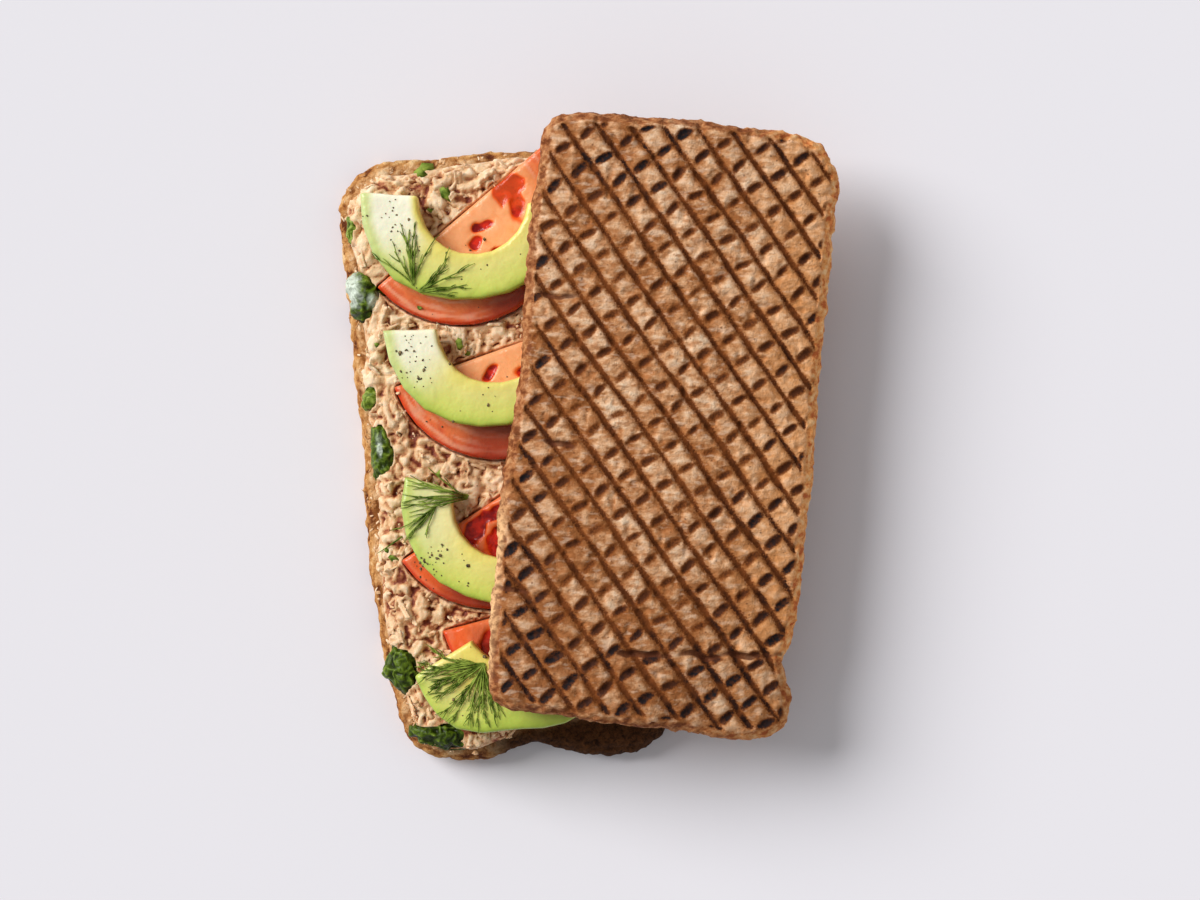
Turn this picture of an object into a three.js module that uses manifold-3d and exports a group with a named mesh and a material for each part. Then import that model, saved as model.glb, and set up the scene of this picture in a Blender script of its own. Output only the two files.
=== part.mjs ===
// Tuna sandwich on grilled wholegrain bread. The lower slice is spread with flaked tuna and topped with
// four half-moon slices of tomato, four halved rings of avocado and drops of green herb sauce. The upper
// slice lies over the right half of the filling and droops where nothing carries it.
//
// Millimetres, +Z up. The origin is the middle of the sandwich's outline, on the surface that it rests on.
// +Y runs along the slices, and the upper slice overhangs the lower one towards +X.

import * as THREE from 'three';
import { mergeVertices } from 'three/addons/utils/BufferGeometryUtils.js';
import Module from 'manifold-3d';

const wasm = await Module();
wasm.setup();

// ---------------------------------------------------------------------------------------------------------
// Driving dimensions
// ---------------------------------------------------------------------------------------------------------

const GAP = 0.3; // kept between neighbouring pieces

const BREAD_THICKNESS = 11;
const RIM_POINTS = 70; // round each slice of bread

// A slice's outline is a rounded rectangle in its own frame, with a hand-shaped rim: every nick pulls the
// rim in by depth within about reach of its place, and a negative depth lets it bulge.
const LOWER_SLICE = {
  x: -24.8,
  y: -2.9,
  turn: 5,
  halfWidth: 46.4,
  halfLength: 94.6,
  corners: { topRight: 14, topLeft: 17, bottomLeft: 18, bottomRight: 15 },
  ripple: 0.4,
  nicks: [
    { x: -47, y: -78, depth: 3.4, reach: 20 },
    { x: -24, y: -95, depth: -2, reach: 13 },
    { x: -1, y: -95, depth: 3, reach: 6 },
    { x: 27, y: -96, depth: -3.8, reach: 17 },
  ],
};

const UPPER_SLICE = {
  x: 23.4,
  y: 5,
  turn: -5.4,
  halfWidth: 47.6,
  halfLength: 94.3,
  corners: { topRight: 17, topLeft: 9, bottomLeft: 11, bottomRight: 7 },
  ripple: 0.35,
  nicks: [
    { x: -48, y: 84, depth: 2.6, reach: 22 },
    { x: -48, y: 20, depth: 1.6, reach: 28 },
    { x: -46, y: -11, depth: 2, reach: 3 },
    { x: -25, y: -95, depth: 2.8, reach: 24 },
    { x: 13, y: -95, depth: 1, reach: 8 },
    { x: 34, y: 94, depth: 0.8, reach: 10 },
    { x: 48, y: -69.5, depth: 4, reach: 5.5 },
  ],
};

// The rim ripples in waves that run all the way round, each with its share of the slice's ripple
const RIM_WAVES = [
  { share: 1, waves: 5, phase: 1 },
  { share: 0.7, waves: 11, phase: 0 },
  { share: 0.6, waves: 19, phase: 2 },
];

// A slice's edge in section, from the flat of its top over the rim to the flat of its underside
const UPPER_EDGE = [
  { inset: 3.2, drop: 0 },
  { inset: 1, drop: 1.5 },
  { inset: 0, drop: 4.6 },
];
const LOWER_EDGE = [
  { inset: 0.9, rise: 1.6 },
  { inset: 2.6, rise: 0 },
];

// The upper slice's underside is slightly uneven, on rows of points inside its foot
const UNDERSIDE = { rows: [0.66, 0.33], inset: 5, height: 0.15, wave: 0.12, across: 9, along: 13 };

// How the upper slice lies: its left side rests on the filling, and from BEND.from it bends down to the
// right. It is lifted a little by each pair of tomato and avocado, and its lower right corner folds down at
// a crease.
const UPPER_UNDERSIDE = 31.2;
const BEND = { from: -38, radius: 300 };
const SWELL = { height: 0.55, spacing: 44.5, firstValley: 35.6, fadesOver: 40 };
const FOLD = { crease: -69, drop: 0.13, from: -6, over: 26 };

// Marks of the ridged grill: long grooves one way, and across them a row of short notches between each two.
// A direction is that of the marks' normal, and the marks are a pitch apart, counted from the offset.
const GRILL = {
  width: 2.4,
  depth: 1.1,
  plainRim: 3.6,
  groove: { normal: 40.5, pitch: 8.32, offset: 2.3 },
  notch: { normal: -51.1, pitch: 8.45, offset: -2.3, length: 5.4, rimClearance: 5.2 },
};

const HEAP_POINTS = 60; // round the tuna
const TUNA = {
  inset: 3.8,
  depth: 7,
  lump: 0.75,
  humpFrom: -37, // across the upper slice, where the heap starts to rise under it
  humpOver: 18,
  underLid: 0.8,
  endSlope: [3, 30], // from its short ends, where the rise starts and where it is complete
  endShare: 0.35, // of the full rise that there is at the ends
  lumpShareOpen: 0.6,
  lumpShareCovered: 0.5,
};
const TUNA_LUMPS = [
  { share: 1, across: 4.1, along: 7.3 },
  { share: 0.8, across: -9, along: 3.7 },
  { share: 0.6, across: 2.9, along: Infinity },
];
const TUNA_BAYS = [
  { depth: 0.9, perPoint: 0.9 },
  { depth: 0.6, perPoint: 2.3 },
];
const TUNA_RETREAT = { x: 22, y: -95, depth: 9, reach: 24 }; // a bare end of the lower slice, in its frame

// The heap's rows of points: over its top by share of the way out, then down its side by share of its
// height
const HEAP_TOP_ROWS = [0.16, 0.34, 0.52, 0.7, 0.86];
const HEAP_SIDE_ROWS = [
  { inset: 4.5, rise: 0.97 },
  { inset: 1.8, rise: 0.82 },
  { inset: 0.3, rise: 0.45 },
  { inset: 0.4, rise: 0 },
];

// Tomato and avocado lie on planes that rise slightly to the right
const LEAN = 2.5;
const TOMATO_THICKNESS = 5;
const TOMATO_BEVEL = 0.9;
const TOMATO_SEGMENTS = 8;
const AVOCADO_THICKNESS = 7;
const AVOCADO_BEVEL = 1.2;
const AVOCADO_SEGMENTS = 11;
const PAIR_FLOOR = 15; // height of the tomato's underside at LEAN_AXIS
const LEAN_AXIS = -34.5;

// The flesh lies below the straight cut, which is turned by that many degrees from +X
const TOMATOES = [
  { x: -39.2, y: 70.1, radius: 34, cut: 40.3 },
  { x: -27.8, y: 28.3, radius: 34, cut: 19.5 },
  { x: -29.9, y: -19, radius: 33, cut: 33 },
  { x: -17.6, y: -51.5, radius: 28, cut: 15 },
];
const POCKET = { count: 3, distance: 0.45, length: 4.6, width: 2.6, depth: 1.6, segments: [7, 4] };

// Angles are counter-clockwise from +X, and the outer radii are spaced evenly from one end of the ring to
// the other
const AVOCADOS = [
  { x: -34.9, y: 74.6, hollow: 16.9, outer: [34.8, 34.9, 31, 31, 32], start: 176, sweep: 181 },
  { x: -28.5, y: 35.5, hollow: 17.5, outer: [34.1, 33.4, 31, 31, 32], start: 182, sweep: 178 },
  { x: -24.5, y: -19.5, hollow: 16.6, outer: [32.6, 32.3, 30.8, 31, 31.6], start: 164, sweep: 180 },
  { x: -21.1, y: -52.4, hollow: 16.6, outer: [37.8, 41, 36.4, 37.4, 36], start: 212, sweep: 112 },
];

const SAUCE_DROPS = [
  { x: -73, y: 66.8, halfWidth: 2.3, halfLength: 5.2, height: 4.4, turn: 0 },
  { x: -69.3, y: 45.3, halfWidth: 5.8, halfLength: 8.2, height: 7, turn: 8 },
  { x: -67.1, y: 13.8, halfWidth: 3, halfLength: 4.8, height: 5.4, turn: -10 },
  { x: -63.4, y: -3.1, halfWidth: 4.2, halfLength: 11, height: 6.6, turn: 6 },
  { x: -56.7, y: -70.6, halfWidth: 6.2, halfLength: 8.4, height: 7, turn: 14 },
  { x: -44.1, y: -91.1, halfWidth: 4.9, halfLength: 11, height: 6.4, turn: 86 },
];
const SAUCE = {
  foot: 0.6, // how far a drop narrows again towards what it lies on
  segments: [10, 6],
  lobes: [
    { count: 3, share: 0.09 },
    { count: 5, share: 0.06 },
  ],
};

// ---------------------------------------------------------------------------------------------------------
// Materials
// ---------------------------------------------------------------------------------------------------------

const matte = (color, roughness) => new THREE.MeshStandardMaterial({ color, roughness, metalness: 0 });
const toastedCrumb = matte(0x986846, 0.85);
const paleCrumb = matte(0xcda073, 0.85);
const tunaFlesh = matte(0xbe8f6c, 0.6);
const tomatoFlesh = matte(0xdd6e46, 0.3);
const avocadoFlesh = matte(0xcecc78, 0.35);
const herbSauce = matte(0x444b10, 0.15);

// ---------------------------------------------------------------------------------------------------------
// Solids
// ---------------------------------------------------------------------------------------------------------

const radians = THREE.MathUtils.degToRad;
const smoothStep = THREE.MathUtils.smoothstep;

function toSolid(geometry) {
  const bare = geometry.clone();
  bare.deleteAttribute('normal');
  bare.deleteAttribute('uv');
  const merged = mergeVertices(bare, 1e-4);
  return new wasm.Manifold(
    new wasm.Mesh({
      numProp: 3,
      vertProperties: new Float32Array(merged.attributes.position.array),
      triVerts: new Uint32Array(merged.index.array),
    }),
  );
}

function toGeometry(solid) {
  const mesh = solid.getMesh();
  const geometry = new THREE.BufferGeometry();
  geometry.setAttribute('position', new THREE.BufferAttribute(mesh.vertProperties, 3));
  geometry.setIndex(new THREE.BufferAttribute(mesh.triVerts, 1));
  geometry.computeVertexNormals();
  return geometry;
}

function joined(solids) {
  return solids.reduce((all, solid) => all.add(solid));
}

function largestPiece(solid) {
  const pieces = solid.decompose();
  return pieces.reduce((best, piece) => (piece.volume() > best.volume() ? piece : best));
}

function moveVertices(geometry, move) {
  const position = geometry.attributes.position;
  const point = new THREE.Vector3();
  for (let i = 0; i < position.count; i += 1) {
    point.fromBufferAttribute(position, i);
    move(point);
    position.setXYZ(i, point.x, point.y, point.z);
  }
  geometry.computeVertexNormals();
  return geometry;
}

// ---------------------------------------------------------------------------------------------------------
// Places: each slice has a frame of its own, turned about +Z
// ---------------------------------------------------------------------------------------------------------

function toWorld(slice, x, y) {
  return new THREE.Vector2(x, y).rotateAround(new THREE.Vector2(), radians(slice.turn))
    .add(new THREE.Vector2(slice.x, slice.y));
}

function toSlice(slice, x, y) {
  return new THREE.Vector2(x - slice.x, y - slice.y)
    .rotateAround(new THREE.Vector2(), radians(-slice.turn));
}

function placeSlice(mesh, slice) {
  mesh.position.set(slice.x, slice.y, 0);
  mesh.rotation.z = radians(slice.turn);
  return mesh;
}

// Change of height of the upper slice from flat, in its own frame
function drape(across, along) {
  const bend = -(Math.max(across - BEND.from, 0) ** 2) / (2 * BEND.radius);
  const turns = (along - SWELL.firstValley) / SWELL.spacing;
  const fade = Math.exp(-(across + UPPER_SLICE.halfWidth) / SWELL.fadesOver);
  const swell = -SWELL.height * Math.cos(2 * Math.PI * turns) * fade;
  const folded = smoothStep(across, FOLD.from, FOLD.from + FOLD.over);
  const fold = -FOLD.drop * folded * Math.max(FOLD.crease - along, 0);
  return bend + swell + fold;
}

// ---------------------------------------------------------------------------------------------------------
// Bread
// ---------------------------------------------------------------------------------------------------------

function roundedRectangle({ halfWidth, halfLength, corners }) {
  const { topRight, topLeft, bottomLeft, bottomRight } = corners;
  const shape = new THREE.Shape();
  shape.moveTo(halfWidth, 0);
  shape.absarc(halfWidth - topRight, halfLength - topRight, topRight, 0, Math.PI / 2);
  shape.absarc(-halfWidth + topLeft, halfLength - topLeft, topLeft, Math.PI / 2, Math.PI);
  shape.absarc(-halfWidth + bottomLeft, -halfLength + bottomLeft, bottomLeft, Math.PI, 1.5 * Math.PI);
  shape.absarc(halfWidth - bottomRight, -halfLength + bottomRight, bottomRight, -Math.PI / 2, 0);
  shape.closePath();
  return shape;
}

// Rim points with their outward directions, counter-clockwise
function rimOf(slice, count) {
  const points = roundedRectangle(slice).getSpacedPoints(count).slice(0, count);
  const outward = (i) => {
    const before = points[(i + count - 1) % count];
    const after = points[(i + 1) % count];
    return new THREE.Vector2(after.y - before.y, before.x - after.x).normalize();
  };
  return points.map((point, i) => {
    const turn = (2 * Math.PI * i) / count;
    let push = 0;
    for (const { share, waves, phase } of RIM_WAVES) {
      push += slice.ripple * share * Math.sin(waves * turn + phase);
    }
    for (const nick of slice.nicks) {
      const distance = Math.hypot(point.x - nick.x, point.y - nick.y);
      push -= nick.depth * Math.exp(-((distance / nick.reach) ** 2));
    }
    const direction = outward(i);
    return { point: point.clone().addScaledVector(direction, push), direction };
  });
}

// A closed slab whose rows of points run from the middle of the top, over the rim, to the middle of the
// underside. Each row is drawn in from the rim by inset, or shrunk towards the middle by share.
function slab(rim, rows) {
  const geometry = new THREE.SphereGeometry(1, rim.length, rows.length - 1);
  const position = geometry.attributes.position;
  rows.forEach(({ inset = 0, share = 1, height }, row) => {
    for (let column = 0; column <= rim.length; column += 1) {
      const { point, direction } = rim[column % rim.length];
      const place = point.clone().addScaledVector(direction, -inset).multiplyScalar(share);
      const z = typeof height === 'function' ? height(place.x, place.y) : height;
      position.setXYZ(row * (rim.length + 1) + column, place.x, place.y, z);
    }
  });
  return geometry;
}

// A flat underside has no rows of its own inside the foot
function breadRows(undersideRows) {
  return [
    { share: 0, height: BREAD_THICKNESS },
    ...UPPER_EDGE.map(({ inset, drop }) => ({ inset, height: BREAD_THICKNESS - drop })),
    ...LOWER_EDGE.map(({ inset, rise }) => ({ inset, height: rise })),
    ...(undersideRows ?? [{ share: 0, height: 0 }]),
  ];
}

function unevenUnderside() {
  const { rows, inset, height, wave, across, along } = UNDERSIDE;
  const heightAt = (x, y) => height + wave * Math.sin(x / across) * Math.cos(y / along);
  return [...rows, 0].map((share) => ({ inset: share > 0 ? inset : 0, share, height: heightAt }));
}

const liesInside = (rim, place, inset) => rim.every(
  ({ point, direction }) => place.clone().sub(point).dot(direction) < -inset,
);

function directionOf(degrees) {
  return new THREE.Vector2(Math.cos(radians(degrees)), Math.sin(radians(degrees)));
}

// Where the line at distance a along normal n meets the line at distance b along normal m
function crossing(n, a, m, b) {
  const area = n.cross(m);
  return new THREE.Vector2((a * m.y - b * n.y) / area, (b * n.x - a * m.x) / area);
}

function grooves(rim, countEachWay) {
  const { normal, pitch, offset } = GRILL.groove;
  const length = 4 * UPPER_SLICE.halfLength;
  const ridges = [];
  for (let i = -countEachWay; i <= countEachWay; i += 1) {
    const ridge = new THREE.CylinderGeometry(1, 1, length, 4);
    ridge.scale(GRILL.width / 2, 1, GRILL.depth);
    ridge.translate(offset + i * pitch, 0, BREAD_THICKNESS);
    ridge.rotateZ(radians(normal));
    ridges.push(toSolid(ridge));
  }
  const inside = rim.map(
    ({ point, direction }) => point.clone().addScaledVector(direction, -GRILL.plainRim),
  );
  const pressed = new THREE.ExtrudeGeometry(new THREE.Shape(inside), {
    depth: 4 * GRILL.depth,
    bevelEnabled: false,
  });
  pressed.translate(0, 0, BREAD_THICKNESS - 2 * GRILL.depth);
  return joined(ridges).intersect(toSolid(pressed));
}

function notches(rim, countEachWay) {
  const { groove, notch } = GRILL;
  const found = [];
  for (let i = -countEachWay; i <= countEachWay; i += 1) {
    for (let j = -countEachWay; j <= countEachWay; j += 1) {
      const place = crossing(
        directionOf(groove.normal),
        groove.offset + (i + 0.5) * groove.pitch,
        directionOf(notch.normal),
        notch.offset + j * notch.pitch,
      );
      if (liesInside(rim, place, notch.rimClearance)) {
        const tooth = new THREE.OctahedronGeometry(1);
        tooth.scale(GRILL.width / 2, notch.length / 2, GRILL.depth);
        tooth.rotateZ(radians(notch.normal));
        tooth.translate(place.x, place.y, BREAD_THICKNESS);
        found.push(toSolid(tooth));
      }
    }
  }
  return joined(found);
}

function lowerBread() {
  const geometry = slab(rimOf(LOWER_SLICE, RIM_POINTS), breadRows());
  const mesh = new THREE.Mesh(toGeometry(toSolid(geometry)), paleCrumb);
  mesh.name = 'bread_bottom';
  return placeSlice(mesh, LOWER_SLICE);
}

function upperBread() {
  const rim = rimOf(UPPER_SLICE, RIM_POINTS);
  const marksEachWay = Math.ceil((UPPER_SLICE.halfLength + UPPER_SLICE.halfWidth) / GRILL.groove.pitch);
  const flatSlice = toSolid(slab(rim, breadRows(unevenUnderside())));
  const marks = grooves(rim, marksEachWay).add(notches(rim, marksEachWay));
  const geometry = toGeometry(flatSlice.subtract(marks));
  moveVertices(geometry, (point) => {
    point.z += UPPER_UNDERSIDE + drape(point.x, point.y);
  });
  const mesh = new THREE.Mesh(geometry, toastedCrumb);
  mesh.name = 'bread_top';
  return placeSlice(mesh, UPPER_SLICE);
}

// ---------------------------------------------------------------------------------------------------------
// Tomato and avocado, each made flat on its own underside and then laid on the leaning plane
// ---------------------------------------------------------------------------------------------------------

const tomatoUnderside = (x) => PAIR_FLOOR + (x - LEAN_AXIS) * Math.tan(radians(LEAN));
const avocadoUnderside = (x) => tomatoUnderside(x) + TOMATO_THICKNESS + GAP;

function layDown(object, x, y, z) {
  object.position.set(x, y, z);
  object.rotation.y = -radians(LEAN);
  object.updateMatrix();
  return object;
}

// Both are also made grown all round and sharp-edged, as the room that the tuna leaves for them
function halfMoon({ radius, cut }, grow) {
  const bevel = grow > 0 ? 0 : TOMATO_BEVEL;
  const rim = radius + grow - bevel;
  const tip = Math.asin((grow - bevel) / rim);
  const shape = new THREE.Shape();
  shape.absarc(0, 0, rim, Math.PI - tip, 2 * Math.PI + tip);
  const geometry = new THREE.ExtrudeGeometry(shape, {
    depth: TOMATO_THICKNESS + 2 * grow - 2 * bevel,
    bevelEnabled: bevel > 0,
    bevelThickness: bevel,
    bevelSize: bevel,
    bevelSegments: 1,
    curveSegments: TOMATO_SEGMENTS,
  });
  geometry.translate(0, 0, bevel - grow);
  let solid = toSolid(geometry);
  if (grow === 0) {
    for (let i = 0; i < POCKET.count; i += 1) {
      const around = (-180 * (i + 0.5)) / POCKET.count;
      const pocket = new THREE.SphereGeometry(1, ...POCKET.segments);
      pocket.scale(POCKET.length, POCKET.width, POCKET.depth);
      pocket.translate(radius * POCKET.distance, 0, TOMATO_THICKNESS);
      pocket.rotateZ(radians(around));
      solid = solid.subtract(toSolid(pocket));
    }
  }
  const placed = toGeometry(solid);
  placed.rotateZ(radians(cut));
  return placed;
}

// Half of a stoned avocado slice: a ring that is as wide as its outer radii say
function halfRing({ hollow, outer, start, sweep }, grow) {
  const bevel = grow > 0 ? 0 : AVOCADO_BEVEL;
  const edge = (radiusAt) => {
    const points = [];
    for (let i = 0; i <= AVOCADO_SEGMENTS; i += 1) {
      const share = i / AVOCADO_SEGMENTS;
      const radial = directionOf(start + sweep * share);
      const tangent = new THREE.Vector2(-radial.y, radial.x);
      const endwards = i === 0 ? -1 : Number(i === AVOCADO_SEGMENTS);
      points.push(
        radial.multiplyScalar(radiusAt(share)).addScaledVector(tangent, endwards * (grow - bevel)),
      );
    }
    return points;
  };
  const radii = new THREE.SplineCurve(outer.map((radius, i) => new THREE.Vector2(i, radius)));
  const skinSide = edge((share) => radii.getPoint(share).y + grow - bevel);
  const stoneSide = edge(() => hollow - grow + bevel).reverse();
  const geometry = new THREE.ExtrudeGeometry(new THREE.Shape([...skinSide, ...stoneSide]), {
    depth: AVOCADO_THICKNESS + 2 * grow - 2 * bevel,
    bevelEnabled: bevel > 0,
    bevelThickness: bevel,
    bevelSize: bevel,
    bevelSegments: 2,
  });
  geometry.translate(0, 0, bevel - grow);
  return geometry;
}

function laidSolid(geometry, x, y, z) {
  const laid = layDown(new THREE.Mesh(geometry), x, y, z);
  return toSolid(geometry.clone().applyMatrix4(laid.matrix));
}

function slicesOf(kind, list, shapeOf, undersideAt, material) {
  return list.map((piece, i) => {
    const mesh = new THREE.Mesh(shapeOf(piece, 0), material);
    mesh.name = `${kind}_${i + 1}`;
    return layDown(mesh, piece.x, piece.y, undersideAt(piece.x));
  });
}

function roomFor(list, shapeOf, undersideAt) {
  return list.map((piece) => laidSolid(shapeOf(piece, GAP), piece.x, piece.y, undersideAt(piece.x)));
}

// ---------------------------------------------------------------------------------------------------------
// Herb sauce and tuna, both cut round what lies on them
// ---------------------------------------------------------------------------------------------------------

function sauceBlob({ x, y, halfWidth, halfLength, height, turn }, grow) {
  const floor = BREAD_THICKNESS + GAP - grow;
  const blob = new THREE.SphereGeometry(1, ...SAUCE.segments);
  blob.rotateX(Math.PI / 2);
  moveVertices(blob, (point) => {
    const around = Math.atan2(point.y, point.x);
    let uneven = 1;
    for (const { count, share } of SAUCE.lobes) {
      uneven += share * Math.sin(count * around + x + y);
    }
    point.x *= (halfWidth + grow) * uneven;
    point.y *= (halfLength + grow) * uneven;
    point.z *= point.z > 0 ? height + 2 * grow : SAUCE.foot;
    point.z += SAUCE.foot;
  });
  blob.rotateZ(radians(turn));
  blob.translate(x, y, floor);
  return toSolid(blob);
}

function sauceDrops(rooms) {
  return SAUCE_DROPS.map((drop, i) => {
    const mesh = new THREE.Mesh(toGeometry(largestPiece(sauceBlob(drop, 0).subtract(rooms))), herbSauce);
    mesh.name = `sauce_${i + 1}`;
    return mesh;
  });
}

function tunaTop(x, y) {
  const place = toWorld(LOWER_SLICE, x, y);
  const under = toSlice(UPPER_SLICE, place.x, place.y);
  let lumps = 0;
  for (const { share, across, along } of TUNA_LUMPS) {
    lumps += TUNA.lump * share * Math.sin(x / across + y / along);
  }
  const open = BREAD_THICKNESS + TUNA.depth + TUNA.lumpShareOpen * lumps;
  const lid = UPPER_UNDERSIDE + drape(under.x, under.y);
  const covered = lid - TUNA.underLid - TUNA.lumpShareCovered * Math.abs(lumps);
  const humped = smoothStep(under.x, TUNA.humpFrom, TUNA.humpFrom + TUNA.humpOver);
  const fromEnd = LOWER_SLICE.halfLength - Math.abs(y);
  const rise = THREE.MathUtils.lerp(TUNA.endShare, 1, smoothStep(fromEnd, ...TUNA.endSlope));
  return THREE.MathUtils.lerp(open, covered, humped * rise);
}

function tuna(rooms) {
  const floor = BREAD_THICKNESS + GAP;
  const rim = rimOf(LOWER_SLICE, HEAP_POINTS).map(({ point, direction }, i) => {
    let bay = TUNA.inset;
    for (const { depth, perPoint } of TUNA_BAYS) {
      bay += depth * Math.sin(i * perPoint);
    }
    const fromRetreat = Math.hypot(point.x - TUNA_RETREAT.x, point.y - TUNA_RETREAT.y);
    bay += TUNA_RETREAT.depth * Math.exp(-((fromRetreat / TUNA_RETREAT.reach) ** 2));
    return { point: point.clone().addScaledVector(direction, -bay), direction };
  });
  const risen = (share) => (x, y) => THREE.MathUtils.lerp(floor, tunaTop(x, y), share);
  const { inset } = HEAP_SIDE_ROWS[0];
  const heap = slab(rim, [
    { share: 0, height: tunaTop(0, 0) },
    ...HEAP_TOP_ROWS.map((share) => ({ inset, share, height: risen(1) })),
    ...HEAP_SIDE_ROWS.map((row) => ({ inset: row.inset, height: risen(row.rise) })),
    { share: 0, height: floor },
  ]);
  heap.rotateZ(radians(LOWER_SLICE.turn));
  heap.translate(LOWER_SLICE.x, LOWER_SLICE.y, 0);
  const mesh = new THREE.Mesh(toGeometry(largestPiece(toSolid(heap).subtract(rooms))), tunaFlesh);
  mesh.name = 'tuna';
  return mesh;
}

// ---------------------------------------------------------------------------------------------------------
// The sandwich
// ---------------------------------------------------------------------------------------------------------

const sliceRooms = joined([
  ...roomFor(TOMATOES, halfMoon, tomatoUnderside),
  ...roomFor(AVOCADOS, halfRing, avocadoUnderside),
]);
const sauceRooms = joined(SAUCE_DROPS.map((drop) => sauceBlob(drop, GAP)));

const sandwich = new THREE.Group();
sandwich.add(
  lowerBread(),
  tuna(sliceRooms.add(sauceRooms)),
  ...slicesOf('tomato', TOMATOES, halfMoon, tomatoUnderside, tomatoFlesh),
  ...slicesOf('avocado', AVOCADOS, halfRing, avocadoUnderside, avocadoFlesh),
  ...sauceDrops(sliceRooms),
  upperBread(),
);

export default sandwich;
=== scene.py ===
import itertools
import math
import random
from contextlib import contextmanager

import bpy
import numpy as np
from mathutils import Euler, Matrix, Vector
from mathutils.bvhtree import BVHTree
from mathutils.kdtree import KDTree


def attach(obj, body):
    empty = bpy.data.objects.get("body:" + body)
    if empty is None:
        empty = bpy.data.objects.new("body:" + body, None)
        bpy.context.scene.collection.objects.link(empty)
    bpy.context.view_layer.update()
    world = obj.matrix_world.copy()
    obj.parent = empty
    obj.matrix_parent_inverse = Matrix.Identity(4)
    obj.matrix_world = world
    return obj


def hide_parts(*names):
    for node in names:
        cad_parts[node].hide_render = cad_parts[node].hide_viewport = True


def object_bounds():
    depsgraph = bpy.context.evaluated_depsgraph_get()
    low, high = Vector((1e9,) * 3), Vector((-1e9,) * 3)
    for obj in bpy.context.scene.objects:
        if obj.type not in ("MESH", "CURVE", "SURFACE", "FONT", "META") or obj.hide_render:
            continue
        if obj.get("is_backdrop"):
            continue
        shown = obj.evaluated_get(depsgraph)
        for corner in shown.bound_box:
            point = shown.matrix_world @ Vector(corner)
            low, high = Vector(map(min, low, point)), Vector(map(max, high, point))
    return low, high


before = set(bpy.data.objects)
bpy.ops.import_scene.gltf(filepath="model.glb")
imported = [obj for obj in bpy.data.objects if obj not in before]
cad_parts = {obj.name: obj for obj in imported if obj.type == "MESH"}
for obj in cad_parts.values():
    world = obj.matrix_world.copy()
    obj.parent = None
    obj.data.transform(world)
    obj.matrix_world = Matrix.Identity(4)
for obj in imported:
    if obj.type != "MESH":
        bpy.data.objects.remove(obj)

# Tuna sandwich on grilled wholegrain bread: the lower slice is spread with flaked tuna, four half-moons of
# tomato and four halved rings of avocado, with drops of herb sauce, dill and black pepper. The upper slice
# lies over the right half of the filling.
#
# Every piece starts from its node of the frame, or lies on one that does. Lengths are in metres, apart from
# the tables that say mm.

CAD_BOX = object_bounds()
MM = 0.001

# ---- Sizes and places, as the frame has them ----

BREAD_THICKNESS = 11 * MM
LOWER_SLICE = {"x": -24.8 * MM, "y": -2.9 * MM, "turn": math.radians(5), "half_width": 46.4 * MM}
UPPER_SLICE = {"x": 23.4 * MM, "y": 5 * MM, "turn": math.radians(-5.4), "half_width": 47.6 * MM}
SLICE_HALF_LENGTH = 94 * MM
UPPER_UNDERSIDE = 31.2 * MM
BEND = {"start": -38 * MM, "radius": 300 * MM}
SWELL = {"height": 0.55 * MM, "spacing": 44.5 * MM, "first_valley": 35.6 * MM, "fades_over": 40 * MM}
FOLD = {"crease": -69 * MM, "drop": 0.13, "start": -6 * MM, "over": 26 * MM}

# The ridged grill presses long grooves one way and short notches between them the other way. A notch curves
# by so many rows for each square metre from its middle.
GROOVE = {"normal": math.radians(40.5), "pitch": 8.32 * MM, "offset": 2.3 * MM, "half_width": 0.98 * MM}
NOTCH = {"normal": math.radians(-51.1), "pitch": 8.45 * MM, "offset": -2.3 * MM, "half_width": 1.05 * MM}
NOTCH_HALF_LENGTH = 2.45 * MM
NOTCH_CURVE = 2e3
TAIL_HALF_LENGTH = 3.6 * MM
MARK_DEPTH = 0.95 * MM
SHIFT_PAST_FOLD = np.array([-1.6 * MM, 2.4 * MM])

# Creases of the upper slice in its own frame in mm: how far along it, from and to where across, how deep, and
# how much they rise across. The last is the fold of its corner.
CREASES = [
    (35.6, -48, -31, 0.8, 0),
    (-8.6, -48, -27, 1.1, 0),
    (-53.5, -48, -37, 0.8, 0),
    (-70, -7, 49, 1.5, 0.08),
]

# The folded corner is pressed out round: its middle, then heading in degrees and reach in mm of its outline
CORNER_MIDDLE = np.array([33.5 * MM, -82.3 * MM])
CORNER_REACH = [(-140, 14.6), (-110, 13.9), (-85, 12.7), (-54, 13.8), (-27, 15.6), (0, 15.3), (40, 14.6)]

# Tomato and avocado lie in pairs on a bed that rises slightly to the right
LEAN = math.radians(2.5)
LEAN_AXIS = -34.5 * MM
PAIR_FLOOR = 15 * MM
TOMATO_THICKNESS = 5 * MM
AVOCADO_THICKNESS = 7 * MM
GAP = 0.3 * MM

# How fine the skin of each kind of piece is, and how many loose bits are tried on it
BREAD_CELL = 1.1 * MM
HEAP_CELL = 1.15 * MM
FLAKE_CELL = 0.48 * MM
SLICE_CELL = 0.55 * MM
DROP_CELL = 0.36 * MM
FLAKES_TRIED = 560
CRUMBS_TRIED = 300
BRAN_TRIED = 2200

# ---- Hand tools ----


def pick(piece):
    """Deselects everything else and makes this piece the one that is worked on."""
    for other in bpy.context.selected_objects:
        other.select_set(False)
    piece.select_set(True)
    bpy.context.view_layer.objects.active = piece
    return piece


@contextmanager
def edit_mode():
    """Edit mode for the lines under it."""
    bpy.ops.object.mode_set(mode="EDIT")
    yield
    bpy.ops.object.mode_set(mode="OBJECT")


def apply(piece, kind, **settings):
    """Adds a modifier to the piece and applies it."""
    pick(piece)
    modifier = piece.modifiers.new(kind.title(), kind)
    for setting, value in settings.items():
        setattr(modifier, setting, value)
    bpy.ops.object.modifier_apply(modifier=modifier.name)


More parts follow.
